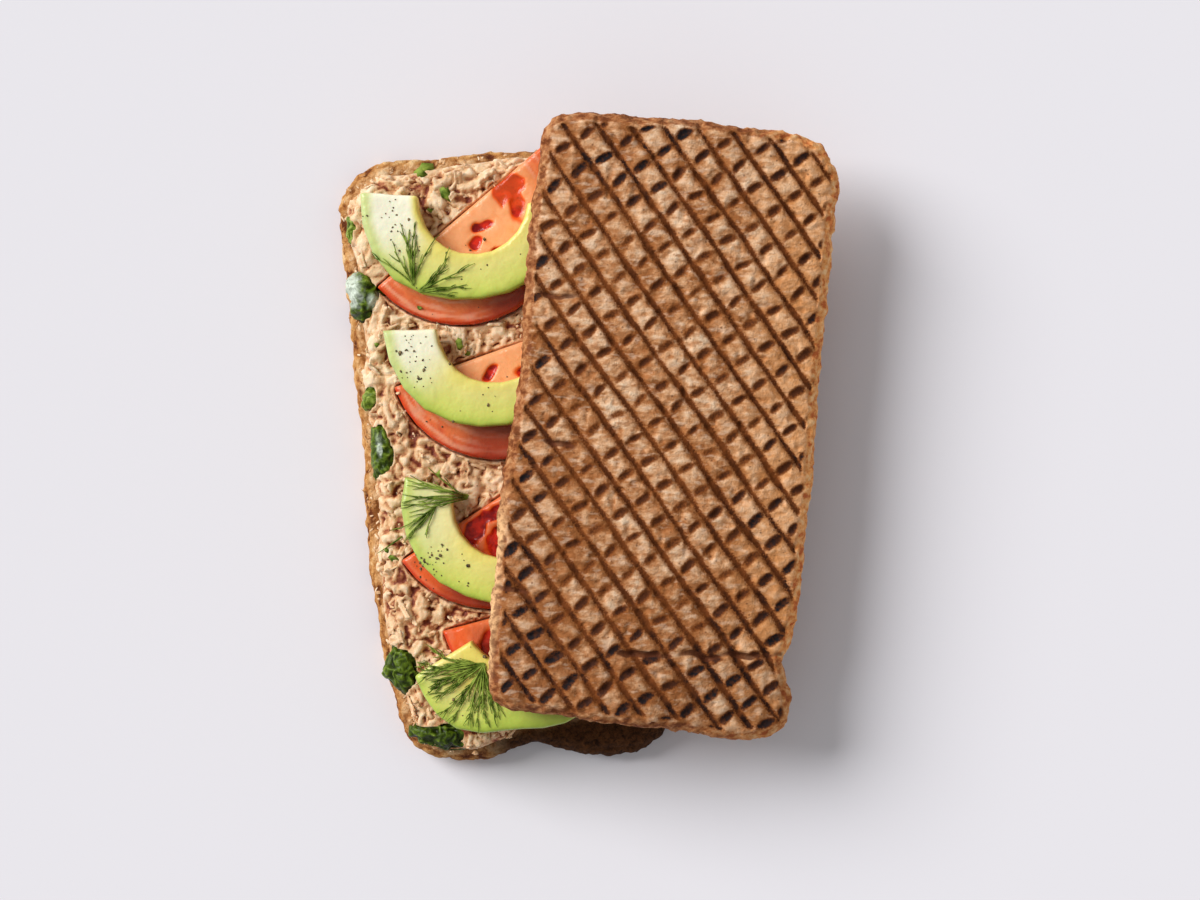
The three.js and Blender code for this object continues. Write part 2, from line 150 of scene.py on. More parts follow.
def new_piece(name, data):
    piece = bpy.data.objects.new(name, data)
    bpy.context.scene.collection.objects.link(piece)
    return piece


def copy_of(node, name):
    """A copy of a node as a new piece, its loose triangles merged."""
    piece = new_piece(name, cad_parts[node].data.copy())
    piece.data.name = name
    piece.data.materials.clear()
    pick(piece)
    bpy.ops.mesh.customdata_custom_splitnormals_clear()
    with edit_mode():
        bpy.ops.mesh.select_all(action="SELECT")
        bpy.ops.mesh.remove_doubles(threshold=0.001 * MM)
    return piece


def remesh(piece, cell, smoothing):
    """An even skin of small faces over the piece, with its edges rounded a little."""
    apply(piece, "REMESH", mode="VOXEL", voxel_size=cell, use_smooth_shade=True)
    apply(piece, "SMOOTH", factor=0.5, iterations=smoothing)


def split_faces(piece, wanted, smoothness=0.0):
    """Subdivides the faces that are wanted."""
    pick(piece)
    with edit_mode():
        bpy.ops.mesh.select_mode(type="FACE")
        bpy.ops.mesh.select_all(action="DESELECT")
    for face in piece.data.polygons:
        face.select = wanted(face)
    with edit_mode():
        bpy.ops.mesh.subdivide(number_cuts=1, smoothness=smoothness)


def read_rows(items, field):
    rows = np.empty(3 * len(items), np.float32)
    items.foreach_get(field, rows)
    return rows.reshape(-1, 3).astype(float)


def points_of(piece):
    return read_rows(piece.data.vertices, "co")


def normals_of(piece):
    return read_rows(piece.data.vertex_normals, "vector")


def put_points(piece, points):
    piece.data.vertices.foreach_set("co", points.astype(np.float32).ravel())
    piece.data.update()


def paint(piece, **layers):
    """Stores numbers at every point of the piece under these names, which its finish reads."""
    for name, shares in layers.items():
        layer = piece.data.attributes.new(name, "FLOAT", "POINT")
        layer.data.foreach_set("value", np.asarray(shares, np.float32))


def step(value, low, high):
    """0 below low, 1 above high, smooth in between. With low above high it falls instead."""
    share = np.clip((value - low) / (high - low), 0, 1)
    return share * share * (3 - 2 * share)


# Large whole numbers that scatter the numbers of neighbouring cells
CELL_MIXERS = np.array([374761393, 668265263, 1103515245])
SCATTER = 1274126177


def shuffled(cells, seed):
    """A number from -1 to 1 for each cell of whole numbers, the same each time."""
    mixed = cells @ CELL_MIXERS[: cells.shape[-1]] + seed * SCATTER
    mixed = ((mixed ^ (mixed >> 13)) * SCATTER) & 0xFFFFFFFF
    mixed = mixed ^ (mixed >> 16)
    return (mixed & 0xFFFF) / 32767.5 - 1


def lumps(points, size, seed=0):
    """Smooth unevenness from -1 to 1, in lumps about that size across."""
    grid = points / size
    cell = np.floor(grid).astype(np.int64)
    part = step(grid - cell, 0, 1)
    total = np.zeros(len(points))
    for corner in itertools.product((0, 1), repeat=points.shape[1]):
        weight = np.prod(np.where(corner, part, 1 - part), axis=1)
        total += weight * shuffled(cell + corner, seed)
    return total


def pushed_about(points, far, size, seed):
    """Points moved unevenly, so that a pattern read at them has ragged edges."""
    return points + far * np.stack([lumps(points, size, seed + i) for i in range(3)], axis=1)


def hollows(piece, depth):
    """How deep each point lies in a hollow of its piece, as a share of that depth."""
    points, normals = points_of(piece), normals_of(piece)
    apply(piece, "SMOOTH", factor=0.5, iterations=20)
    sunk = ((points_of(piece) - points) * normals).sum(axis=1)
    put_points(piece, points)
    return sunk / depth


def distance_to(chosen, points):
    """How far each point is, seen from above, from the nearest chosen one."""
    tree = KDTree(len(chosen))
    for i, (x, y, _) in enumerate(chosen):
        tree.insert((x, y, 0), i)
    tree.balance()
    return np.array([tree.find((x, y, 0))[2] for x, y, _ in points])


def turned(points, angle, axes=(0, 1)):
    """Points turned about Z. With axes 0 and 2 their right-hand side is tipped up instead."""
    first, second = axes
    cosine, sine = math.cos(angle), math.sin(angle)
    moved = points.copy()
    moved[:, first] = cosine * points[:, first] - sine * points[:, second]
    moved[:, second] = sine * points[:, first] + cosine * points[:, second]
    return moved


def shape_of(piece):
    """The points of a piece and the corners of its faces."""
    return points_of(piece), [tuple(face.vertices) for face in piece.data.polygons]


def joined(shapes):
    """The points and faces of many shapes as those of one."""
    points, faces = [], []
    total = 0
    for shape_points, shape_faces in shapes:
        points.append(shape_points)
        faces.extend(tuple(total + i for i in face) for face in shape_faces)
        total += len(shape_points)
    return np.concatenate(points).tolist(), faces


def tree_of(pieces):
    """The surfaces of these pieces, for finding what lies above or below a place."""
    return BVHTree.FromPolygons(*joined([shape_of(piece) for piece in pieces]))


def finish(piece, material, nodes=()):
    """Smooth shading, its material, a place under the root body, and the frame nodes it replaces hidden."""
    piece.data.materials.clear()
    piece.data.materials.append(material)
    pick(piece)
    bpy.ops.object.shade_smooth()
    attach(piece, "root")
    if nodes:
        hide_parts(*nodes)
    return piece


# ---- Finishes ----


class Finish:
    """A material whose patterns lie in the piece's own space, at their real size."""

    def __init__(self, name, roughness, **settings):
        self.material = bpy.data.materials.new(name)
        self.material.use_nodes = True
        self.tree = self.material.node_tree
        self.shader = self.tree.nodes["Principled BSDF"]
        self.put(roughness, self.shader.inputs["Roughness"])
        for setting, value in settings.items():
            self.put(value, self.shader.inputs[setting.replace("_", " ")])
        self.places = self.tree.nodes.new("ShaderNodeTexCoord").outputs["Object"]

    def put(self, value, socket):
        """Links a pattern to a socket, or sets a number or a colour on it."""
        if isinstance(value, bpy.types.NodeSocket):
            self.tree.links.new(value, socket)
        elif socket.type == "RGBA":
            socket.default_value = (*value, 1)
        else:
            socket.default_value = value

    def node(self, kind, inputs, **settings):
        made = self.tree.nodes.new(kind)
        for setting, value in settings.items():
            setattr(made, setting, value)
        for socket, value in inputs.items():
            self.put(value, made.inputs[socket])
        return made

    def noise(self, size, detail=2, rough=0.55, stretch=(1, 1, 1), warp=0.0):
        """Cloudy pattern with patches about that size, from 0 to 1."""
        places = self.node("ShaderNodeMapping", {"Vector": self.places, "Scale": stretch}).outputs[0]
        inputs = {"Vector": places, "Scale": 1 / size, "Detail": detail, "Roughness": rough}
        return self.node("ShaderNodeTexNoise", {**inputs, "Distortion": warp}).outputs["Fac"]

    def cells(self, size):
        """How far each place is from the middle of its cell, with cells about that size."""
        inputs = {"Vector": self.places, "Scale": 1 / size}
        return self.node("ShaderNodeTexVoronoi", inputs).outputs["Distance"]

    def painted(self, name):
        return self.node("ShaderNodeAttribute", {}, attribute_name=name).outputs["Fac"]

    def sums(self, how, first, second):
        return self.node("ShaderNodeMath", {0: first, 1: second}, operation=how).outputs[0]

    def plus(self, first, second):
        return self.sums("ADD", first, second)

    def times(self, first, second):
        return self.sums("MULTIPLY", first, second)

    def weighted(self, *parts):
        """The sum of patterns, each with its weight."""
        total, *others = [self.times(pattern, weight) for pattern, weight in parts]
        for other in others:
            total = self.plus(total, other)
        return total

    def either_way(self, pattern, width):
        """The pattern centred on zero and that wide from its lowest to its highest."""
        return self.times(self.plus(pattern, -0.5), width)

    def between(self, value, low, high, to_low=0.0, to_high=1.0):
        """The value's share of the way from low to high, smooth."""
        inputs = {"Value": value, "From Min": low, "From Max": high, "To Min": to_low, "To Max": to_high}
        return self.node("ShaderNodeMapRange", inputs, interpolation_type="SMOOTHSTEP").outputs[0]

    def mix(self, share, first, second):
        """Two colours mixed."""
        return self.node("ShaderNodeMix", {0: share, 6: first, 7: second}, data_type="RGBA").outputs[2]

    def coats(self, colour, *coats):
        """A colour with others laid over it in turn: how much of each covers, and its colour."""
        for share, coat in coats:
            colour = self.mix(share, colour, coat)
        return colour

    def ramp(self, value, *stops):
        """Colours along a value, each stop a place and a colour."""
        made = self.node("ShaderNodeValToRGB", {"Fac": value})
        elements = made.color_ramp.elements
        while len(elements) < len(stops):
            elements.new(0.5)
        for element, (place, colour) in zip(elements, stops):
            element.position = place
            element.color = (*colour, 1)
        return made.outputs["Color"]

    def done(self, colour, *relief):
        """The material with this colour and this fine relief: patterns, and how tall each is."""
        self.put(colour, self.shader.inputs["Base Color"])
        socket = self.shader.inputs["Normal"]
        for pattern, tall in reversed(relief):
            bump = self.node("ShaderNodeBump", {"Height": pattern, "Distance": tall, "Strength": 1.0})
            self.tree.links.new(bump.outputs[0], socket)
            socket = bump.inputs["Normal"]
        return self.material


def grilled(made, colour, grain):
    """Adds the marks of the grill to a crumb: brown grooves, and notches that are charred in places."""
    groove, notch, char = made.painted("groove"), made.painted("notch"), made.painted("charred")
    nearest = made.sums("MAXIMUM", groove, notch)
    ragged = made.either_way(grain, 0.7)
    groove, notch = made.plus(groove, ragged), made.plus(notch, ragged)
    patchy = made.between(made.noise(6 * MM), 0.38, 0.6, 0.4, 1.0)
    spotty = made.between(made.noise(1.5 * MM), 0.36, 0.58, 0.35, 1.0)
    burnt = made.times(made.between(notch, 0.35, 0.8), char)
    return made.coats(
        colour,
        (made.between(nearest, 0.0, 0.6, 0.0, 0.5), (0.38, 0.14, 0.038)),
        (made.between(groove, 0.36, 0.7), (0.22, 0.06, 0.012)),
        (
            made.times(made.between(groove, 0.48, 0.8), patchy),
            made.mix(char, (0.095, 0.025, 0.006), (0.022, 0.009, 0.007)),
        ),
        (made.between(notch, 0.05, 0.62, 0.0, 0.95), (0.21, 0.058, 0.012)),
        (made.between(notch, 0.5, 0.9, 0.0, 0.9), (0.07, 0.019, 0.007)),
        (made.times(burnt, spotty), (0.014, 0.011, 0.013)),
    )


def toasted_bread():
    """Wholegrain crumb, browned by the grill and charred where its ridges pressed."""
    made = Finish("toasted_bread", 0.8, Specular_IOR_Level=0.1)
    mottle = made.noise(2.3 * MM, detail=3, rough=0.6, stretch=(0.7, 1.0, 1.0))
    fibres = made.noise(1.6 * MM, rough=0.5, stretch=(0.35, 1.0, 1.0))
    grain = made.noise(0.7 * MM)
    uneven = made.either_way(mottle, 0.35)
    baked, dark_end = made.painted("baked"), made.painted("dark_end")
    tone = made.weighted(
        (mottle, 0.74),
        (made.noise(14 * MM), 0.12),
        (made.painted("square"), 0.21),
        # painted highlight on the puffed middle of each square
        (made.painted("middle"), 0.1),
        # painted light on the crumb's high points and painted shade in its pores
        (made.painted("raised"), 0.1),
        (dark_end, -0.06),
    )
    crumb = made.ramp(
        made.plus(tone, -0.085),
        (0.4, (0.33, 0.115, 0.033)),
        (0.5, (0.53, 0.24, 0.1)),
        (0.58, (0.68, 0.365, 0.185)),
        (0.67, (0.8, 0.49, 0.285)),
        (0.79, (0.89, 0.65, 0.44)),
    )
    # Part of the difference between the crusts is painted light and shade: the left crust, which faces the
    # sun, is painted darker, and the right crust, which slopes away from it, lighter.
    left_crust = made.ramp(
        mottle, (0.4, (0.16, 0.042, 0.013)), (0.52, (0.34, 0.12, 0.04)), (0.66, (0.54, 0.26, 0.11))
    )
    right_crust = made.ramp(
        mottle, (0.36, (0.55, 0.12, 0.03)), (0.5, (0.88, 0.37, 0.11)), (0.68, (1.0, 0.64, 0.32))
    )
    crust = made.between(made.plus(made.painted("rim"), uneven), 0.46, 0.3, 0.0, 0.9)
    # A painted lit strip along the left crust of the upper slice, which faces the light.
    pale_side = made.times(made.painted("pale_side"), made.between(mottle, 0.36, 0.58, 0.25, 0.75))
    # The crease is painted darker, as painted shade in its fold.
    crease = made.between(made.plus(made.painted("crease"), uneven), 0.15, 0.55, 0.0, 0.85)
    colour = made.coats(
        crumb,
        (made.between(fibres, 0.5, 0.72, 0.0, 0.46), (0.88, 0.65, 0.47)),
        (made.between(fibres, 0.5, 0.32, 0.0, 0.7), (0.44, 0.165, 0.055)),
        (made.times(dark_end, 0.17), (0.12, 0.045, 0.02)),
        # Warmer towards the right side: golden crust, and painted light where the slice slopes away from the
        # sun.
        (made.times(baked, 0.45), (0.9, 0.41, 0.15)),
        (made.between(made.cells(3.3 * MM), 0.14, 0.07, 0.0, 0.6), (0.14, 0.045, 0.016)),
        (crust, made.mix(baked, left_crust, right_crust)),
        (pale_side, (0.87, 0.54, 0.27)),
    )
    colour = made.mix(crease, grilled(made, colour, grain), (0.12, 0.034, 0.014))
    return made.done(colour, (grain, 0.25 * MM), (mottle, 0.6 * MM))


def pale_bread():
    """The lower slice: pale crumb, with a golden crust that is browned in places, and painted shade over its
    far end.
    """
    made = Finish("pale_bread", 0.8, Specular_IOR_Level=0.1)
    mottle = made.noise(1.9 * MM, detail=5, rough=0.72, warp=0.7)
    grain = made.noise(0.6 * MM)
    # The crumb's tone carries painted light on its high points and painted shade in its pores.
    tone = made.weighted((mottle, 0.6), (made.painted("raised"), 0.4))
    crumb = made.ramp(
        tone,
        (0.36, (0.26, 0.09, 0.022)),
        (0.46, (0.52, 0.24, 0.085)),
        (0.56, (0.72, 0.42, 0.2)),
        (0.7, (0.85, 0.62, 0.38)),
    )
    crust = made.ramp(
        made.weighted((tone, 0.55), (made.noise(10 * MM), 0.45)),
        (0.4, (0.13, 0.03, 0.01)),
        (0.46, (0.42, 0.16, 0.04)),
        (0.53, (0.66, 0.33, 0.11)),
        (0.61, (0.85, 0.56, 0.28)),
    )
    shade = made.ramp(mottle, (0.35, (0.018, 0.006, 0.003)), (0.65, (0.12, 0.045, 0.015)))
    at_rim = made.between(made.painted("rim"), 0.4, 0.12)
    colour = made.coats(crumb, (at_rim, crust), (made.painted("dark_end"), shade))
    return made.done(grilled(made, colour, grain), (grain, 0.4 * MM), (mottle, 0.9 * MM))


def tuna_meat():
    """Cooked tuna, pinkish cream, in fibres that are paler on top and red-brown between; its tone also
    carries painted light and shade.
    """
    subsurface = {"Subsurface_Weight": 0.1, "Subsurface_Scale": 0.6 * MM}
    made = Finish("tuna_meat", 0.5, Specular_IOR_Level=0.3, **subsurface)
    fibre = made.noise(1.0 * MM, detail=4, rough=0.65, warp=0.5)
    tone = made.weighted((fibre, 0.4), (made.painted("tone"), 0.6))
    colour = made.ramp(
        made.plus(tone, made.either_way(made.noise(6 * MM), 0.25)),
        (0.2, (0.19, 0.03, 0.01)),
        (0.32, (0.44, 0.16, 0.06)),
        (0.46, (0.7, 0.41, 0.2)),
        (0.64, (0.85, 0.59, 0.36)),
        (0.88, (0.9, 0.73, 0.51)),
    )
    return made.done(colour, (made.noise(0.45 * MM), 0.15 * MM), (fibre, 0.25 * MM))


def tomato_flesh():
    """Ripe tomato: orange-red flesh, a darker skin, and dark red pulp in its seed pockets."""
    subsurface = {"Subsurface_Weight": 0.15, "Subsurface_Scale": 1.2 * MM}
    made = Finish("tomato_flesh", 0.2, Specular_IOR_Level=0.3, **subsurface)
    veins = made.noise(3.4 * MM, detail=4, rough=0.6, warp=0.5)
    flesh = made.ramp(
        made.weighted((veins, 0.5), (made.painted("heart"), 0.5)),
        (0.2, (0.66, 0.1, 0.03)),
        (0.42, (0.8, 0.2, 0.065)),
        (0.62, (0.88, 0.32, 0.115)),
        (0.85, (0.93, 0.48, 0.235)),
    )
    pocket = made.plus(made.painted("pocket"), made.either_way(veins, 0.5))
    pulp = made.ramp(veins, (0.38, (0.22, 0.003, 0.003)), (0.62, (0.66, 0.025, 0.008)))
    colour = made.coats(
        flesh,
        (made.times(made.painted("streak"), 0.5), (0.92, 0.5, 0.32)),
        (made.painted("ripe"), (0.75, 0.1, 0.016)),
        (made.painted("skin"), (0.6, 0.05, 0.012)),
        (made.between(pocket, -0.05, 0.5), (0.86, 0.115, 0.012)),
        (made.times(made.between(pocket, 0.4, 0.75), made.painted("dark_pulp")), pulp),
        # painted shadow of the upper slice
        (made.painted("wet"), (0.3, 0.025, 0.008)),
    )
    return made.done(colour, (made.noise(0.8 * MM), 0.08 * MM), (veins, 0.3 * MM))


def avocado_flesh():
    """Ripe avocado: yellow by the stone, through pale green to a lime rim below the peel."""
    made = Finish("avocado_flesh", 0.3, Subsurface_Weight=0.1, Subsurface_Scale=1 * MM)
    patches = made.noise(6 * MM, detail=3)
    colour = made.ramp(
        made.plus(made.painted("skin"), made.either_way(patches, 0.16)),
        (0.0, (0.32, 0.42, 0.04)),
        (0.07, (0.46, 0.56, 0.075)),
        (0.22, (0.62, 0.66, 0.13)),
        (0.6, (0.74, 0.69, 0.2)),
        (0.97, (0.8, 0.67, 0.14)),
    )
    # The top of the left arm is painted paler: cream-coloured flesh and a painted highlight.
    colour = made.mix(made.painted("pale"), colour, (0.93, 0.9, 0.7))
    return made.done(colour, (made.noise(1.2 * MM), 0.08 * MM), (patches, 0.5 * MM))


def herb_sauce():
    """Glossy dark green sauce thick with chopped leaves, with painted glare in places."""
    made = Finish("herb_sauce", 0.34, Specular_IOR_Level=0.16)
    leaves = made.noise(1.3 * MM, detail=3, warp=0.8)
    colour = made.ramp(
        made.weighted((leaves, 0.5), (made.painted("tone"), 0.5)),
        (0.3, (0.01, 0.016, 0.001)),
        (0.44, (0.035, 0.06, 0.002)),
        (0.58, (0.11, 0.17, 0.01)),
        (0.76, (0.34, 0.42, 0.08)),
    )
    # Painted glare: pale highlights painted where light glares off the drop.
    milk = made.times(made.painted("milky"), made.between(leaves, 0.35, 0.55, 0.5, 1.0))
    return made.done(made.mix(milk, colour, (0.64, 0.71, 0.6)), (leaves, 0.3 * MM))


def dill_leaf():
    made = Finish("dill_leaf", 0.5, Specular_IOR_Level=0.12)
    patches = made.noise(3 * MM, detail=3)
    return made.done(made.ramp(patches, (0.38, (0.05, 0.095, 0.004)), (0.62, (0.27, 0.36, 0.055))))


def pepper():
    made = Finish("ground_pepper", 0.7)
    specks = made.noise(0.8 * MM, detail=3)
    return made.done(made.ramp(specks, (0.4, (0.05, 0.035, 0.014)), (0.6, (0.24, 0.16, 0.06))))


def bran():
    """Pale straw to brown, each flake with a tone of its own."""
    made = Finish("bran", 0.8, Specular_IOR_Level=0.1)
    colour = made.ramp(
        made.painted("tone"), (0.2, (0.34, 0.13, 0.04)), (0.5, (0.64, 0.37, 0.18)), (0.8, (0.86, 0.64, 0.42))
    )
    return made.done(colour, (made.noise(0.5 * MM), 0.2 * MM))


# ---- Bread ----


def drape(across, along):
    """How far the upper slice lies above or below flat, in its own frame."""
    bend = -(np.maximum(across - BEND["start"], 0) ** 2) / (2 * BEND["radius"])
    turns = (along - SWELL["first_valley"]) / SWELL["spacing"]
    fade = np.exp(-(across + UPPER_SLICE["half_width"]) / SWELL["fades_over"])
    swell = -SWELL["height"] * np.cos(2 * math.pi * turns) * fade
    folded = step(across, FOLD["start"], FOLD["start"] + FOLD["over"])
    fold = -FOLD["drop"] * folded * np.maximum(FOLD["crease"] - along, 0)
    return bend + swell + fold


def to_slice(points, slab):
    """Points in a slice's own frame, with across and along from its middle."""
    return turned(points - np.array([slab["x"], slab["y"], 0]), -slab["turn"])


def from_slice(points, slab):
    """Points of a slice's own frame where they lie in the sandwich."""
    return turned(points, slab["turn"]) + np.array([slab["x"], slab["y"], 0])


def halfway_up(height):
    """Which points lie halfway up the wall of a slice."""
    return (height > 5.4 * MM) & (height < 7.4 * MM)


def past_fold(across, along):
    """How far each point of the upper slice is past the fold of its corner, from 0 to 1."""
    place, start, _, _, rise = CREASES[-1]
    from_line = along - place * MM - rise * across
    return step(from_line, 0.5 * MM, -1.5 * MM) * step(across, start * MM, 20 * MM)


def press_corner(flat):
    """Moves the waist at the fold up a little, and presses the outline past it out round."""
    across, along, height = flat.T
    by_side = step(across, 33 * MM, 45 * MM)
    along += 3 * MM * by_side * step(np.abs(along - FOLD["crease"]), 13 * MM, 1 * MM)
    arm = flat[:, :2] - CORNER_MIDDLE
    reach, heading = np.hypot(*arm.T), np.degrees(np.arctan2(arm[:, 1], arm[:, 0]))
    rim = halfway_up(height)
    order = np.argsort(heading[rim])
    edge = np.interp(heading, heading[rim][order], reach[rim][order])
    wanted = MM * np.interp(heading, *np.array(CORNER_REACH).T)
    change = (wanted / edge - 1) * step(heading, -140, -112) * step(heading, 50, 20)
    flat[:, :2] += arm * (change * np.clip(reach / edge, 0, 1) ** 2)[:, None]


def creases(flat):
    """How deep the creases are at each point of the upper slice."""
    across, along, _ = flat.T
    sideways = flat[:, :1]
    deepest = np.zeros(len(flat))
    for seed, (place, start, end, depth, rise) in enumerate(CREASES):
        wiggle = 1.3 * MM * lumps(sideways, 7 * MM, seed) + 0.5 * MM * lumps(sideways, 2.2 * MM, seed)
        from_line = np.abs(along - place * MM - rise * across + wiggle)
        reach = step(across, (start - 3) * MM, (start + 3) * MM)
        reach *= step(across, (end + 5) * MM, (end - 3) * MM)
        torn = 0.75 + 0.6 * lumps(sideways, 3.3 * MM, seed + 20)
        deepest = np.maximum(deepest, depth * MM * reach * torn * step(from_line, 1.4 * MM, 0.2 * MM))
    return deepest


def rows_across(own, wander, mark):
    """How many rows of a mark lie between the middle of the slice and each point."""
    across = own[:, 0] * math.cos(mark["normal"]) + own[:, 1] * math.sin(mark["normal"])
    return (across + wander - mark["offset"]) / mark["pitch"]


def grill_marks(flat, shifted, heat):
    """The pattern of the ridged grill: how near each point is to the middle of a groove and of a notch, how
    charred it is there, the tone of its square of crumb, and how far inside that square it lies."""
    pressed = 0.26 * step(flat[:, 1], 10 * MM, -60 * MM)
    own = flat[:, :2] + SHIFT_PAST_FOLD * shifted[:, None]
    wander = 0.4 * MM * lumps(own, 20 * MM, seed=5) + 0.22 * MM * lumps(own, 3.5 * MM, seed=6)
    across, along = rows_across(own, wander, GROOVE), rows_across(own, wander, NOTCH)
    from_groove = np.abs(across - np.round(across)) * GROOVE["pitch"]
    from_row = np.abs(along - np.round(along)) * NOTCH["pitch"]
    cell = np.stack([np.floor(across), np.round(along)], axis=1).astype(np.int64)
    square = np.stack([np.floor(across), np.floor(along)], axis=1).astype(np.int64)
    luck = shuffled(cell, 11)

    wide = 1 + pressed + 0.2 * lumps(own, 9 * MM, seed=8) + 0.2 * lumps(own, 2.6 * MM, seed=16)
    groove = np.clip(1 - 0.5 * from_groove / (GROOVE["half_width"] * wide), 0, 1)
    groove *= 0.92 + 0.14 * lumps(own, 6 * MM, seed=18)

    from_middle = (across - np.floor(across) - 0.5 + 0.04 * shuffled(cell, 19)) * GROOVE["pitch"]
    tilt = (0.02 * shuffled(cell, 20) - 0.008) / MM
    arch = 0.06 * shuffled(cell, 12) + tilt * from_middle + NOTCH_CURVE * from_middle**2
    from_notch = np.abs(along - np.round(along) - arch) * NOTCH["pitch"]
    size = 0.96 + 0.6 * pressed + 0.14 * shuffled(cell, 13)
    size += 0.2 * np.clip(heat, 0, 1) + 0.15 * lumps(own, 1.6 * MM, seed=17)
    aside = (from_notch / (NOTCH["half_width"] * size)) ** 2
    body = 1 - 0.5 * (np.abs(from_middle / (NOTCH_HALF_LENGTH * size)) ** 3 + aside)
    tail = 0.6 - 0.3 * (np.abs(from_middle / TAIL_HALF_LENGTH) ** 4 + 1.6 * aside)
    notch = np.clip(np.maximum(body, tail), 0, 1) * np.clip(0.85 + 0.2 * luck + 0.4 * heat, 0.5, 1)

    # The finish also paints the middle of each square lighter, as a painted highlight on its puffed crumb.
    middle = step(np.minimum(from_groove, from_row + 0.6 * MM), 0.9 * MM, 3.4 * MM)
    return groove, notch, luck, 0.5 + 0.5 * shuffled(square, 14), middle


def edge_heat(flat, slab):
    """Charring is heaviest near the sides and the ends of a slice, and in some patches."""
    side = np.maximum(np.abs(flat[:, 0]) / slab["half_width"], np.abs(flat[:, 1]) / SLICE_HALF_LENGTH)
    return step(side, 0.45, 1.0) + 0.35 * lumps(flat[:, :2], 26 * MM, seed=3)


def crumb_skin(node, name, slab, marked_up, marked):
    """A slice with an even skin, finer on the side that the grill marks, and pressed flat inside its rim. Its
    points stay in the slice's own frame."""
    piece = copy_of(node, name)
    flat = to_slice(points_of(piece), slab)
    if marked_up:
        flat[:, 2] -= UPPER_UNDERSIDE + drape(flat[:, 0], flat[:, 1])
        press_corner(flat)
    rim = flat[(flat[:, 2] > 1.2 * MM) & (flat[:, 2] < 7 * MM)]
    pressed = (flat[:, 2] > 8.5 * MM) & (distance_to(rim, flat) > 2.9 * MM)
    flat[pressed, 2] = BREAD_THICKNESS
    put_points(piece, flat)
    remesh(piece, BREAD_CELL, 2)
    split_faces(piece, lambda face: abs(face.center.z - marked) < 2.4 * MM)
    return piece


def bread_slice(node, name, slab, marked_up, material):
    """A slice of bread with crumb relief all over and grill marks on one side."""
    marked = BREAD_THICKNESS if marked_up else 0.0
    piece = crumb_skin(node, name, slab, marked_up, marked)
    flat, normals = points_of(piece), normals_of(piece)
    across, along, height = flat.T
    wall = flat[halfway_up(height)]
    inwards = distance_to(wall[::2], flat)
    coarse, fine = lumps(flat, 3.1 * MM, seed=1), lumps(flat, 1.4 * MM, seed=2)
    on_edge = step(inwards, 5 * MM, 1.5 * MM)
    streaks = lumps(flat * np.array([0.35, 1, 1]), 1.0 * MM, seed=15)
    crumb = (1 + on_edge) * (0.3 * MM * coarse + 0.22 * MM * fine) + 0.12 * MM * streaks
    pores = step(lumps(flat, 2.6 * MM, seed=9), 0.45, 0.75)
    flat += normals * (crumb - 0.15 * MM - 0.35 * MM * on_edge - 0.6 * MM * pores)[:, None]

    side = step(np.abs(height - marked), 2.6 * MM, 1.4 * MM)
    reach = 3.2 * MM + 1.2 * MM * lumps(flat[:, :2], 9 * MM, seed=7)
    inside = side * step(inwards, reach - 1 * MM, reach + 1 * MM)
    shifted = past_fold(across, along) if marked_up else np.zeros(len(flat))
    heat = edge_heat(flat, slab)
    groove, notch, luck, square, middle = grill_marks(flat, shifted, heat)
    groove, notch = groove * inside, notch * inside
    relief = 0.25 * MM * middle * inside - MARK_DEPTH * step(np.maximum(groove, 0.6 * notch), 0.2, 0.95)
    charred = step(0.42 * luck + heat + 0.4 * step(along, 20 * MM, -60 * MM), 0.5, 1.3)
    # Painted light and shade that follow the relief: lighter on the high points, darker in the pores.
    raised = 0.5 + 0.3 * coarse + 0.3 * fine - 0.5 * pores
    paint(piece, groove=groove, notch=notch, charred=charred, raised=raised)
    paint(piece, rim=np.clip(inwards / (8 * MM), 0, 1))
    if marked_up:
        crease = side * creases(flat)
        # Orange crust towards the right side, also painted lighter as painted light where the slice droops
        # away from the sun.
        baked = step(across, 12 * MM, 43 * MM) * (1 - 0.55 * shifted)
        dark_end = step(along, -10 * MM, -80 * MM) + 0.6 * step(across, 5 * MM, -40 * MM)
        # A narrow strip of the left crust in the lower half of the upper slice, painted paler as painted
        # light where it faces the sun.
        pale_side = step(across, -43.5 * MM, -46.3 * MM) * step(along, -20 * MM, -38 * MM)
        pale_side *= step(along, -90 * MM, -76 * MM)
        paint(piece, square=square, middle=middle, crease=crease / (1.5 * MM))
        paint(piece, baked=baked, dark_end=dark_end, pale_side=pale_side)
        height += relief - crease
        height += UPPER_UNDERSIDE + drape(across, along)
    else:
        # Painted shade, partly a darker crust, over the far end of the lower slice under the upper slice's
        # overhang; strongest towards the right.
        far_end = step(along - 0.15 * across, -82 * MM, -90 * MM)
        paint(piece, dark_end=far_end * (0.25 + 0.75 * step(across, -19 * MM, -6 * MM)))
        height -= relief
    put_points(piece, from_slice(flat, slab))
    return finish(piece, material, [node])


# ---- Tomato and avocado ----


def bed_height(x, above):
    """How high the bed of tomato and avocado is at a place across, with so much more on it."""
    return PAIR_FLOOR + (x - LEAN_AXIS) * math.tan(LEAN) + above


def lay_flat(points, x, y, above):
    """Points in a piece's own frame: its centre at the origin and its underside at no height."""
    return turned(points - np.array([x, y, bed_height(x, above)]), -LEAN, axes=(0, 2))


def lift_back(flat, x, y, above):
    """Points of a piece's own frame where they lie in the sandwich."""
    return turned(flat, LEAN, axes=(0, 2)) + np.array([x, y, bed_height(x, above)])


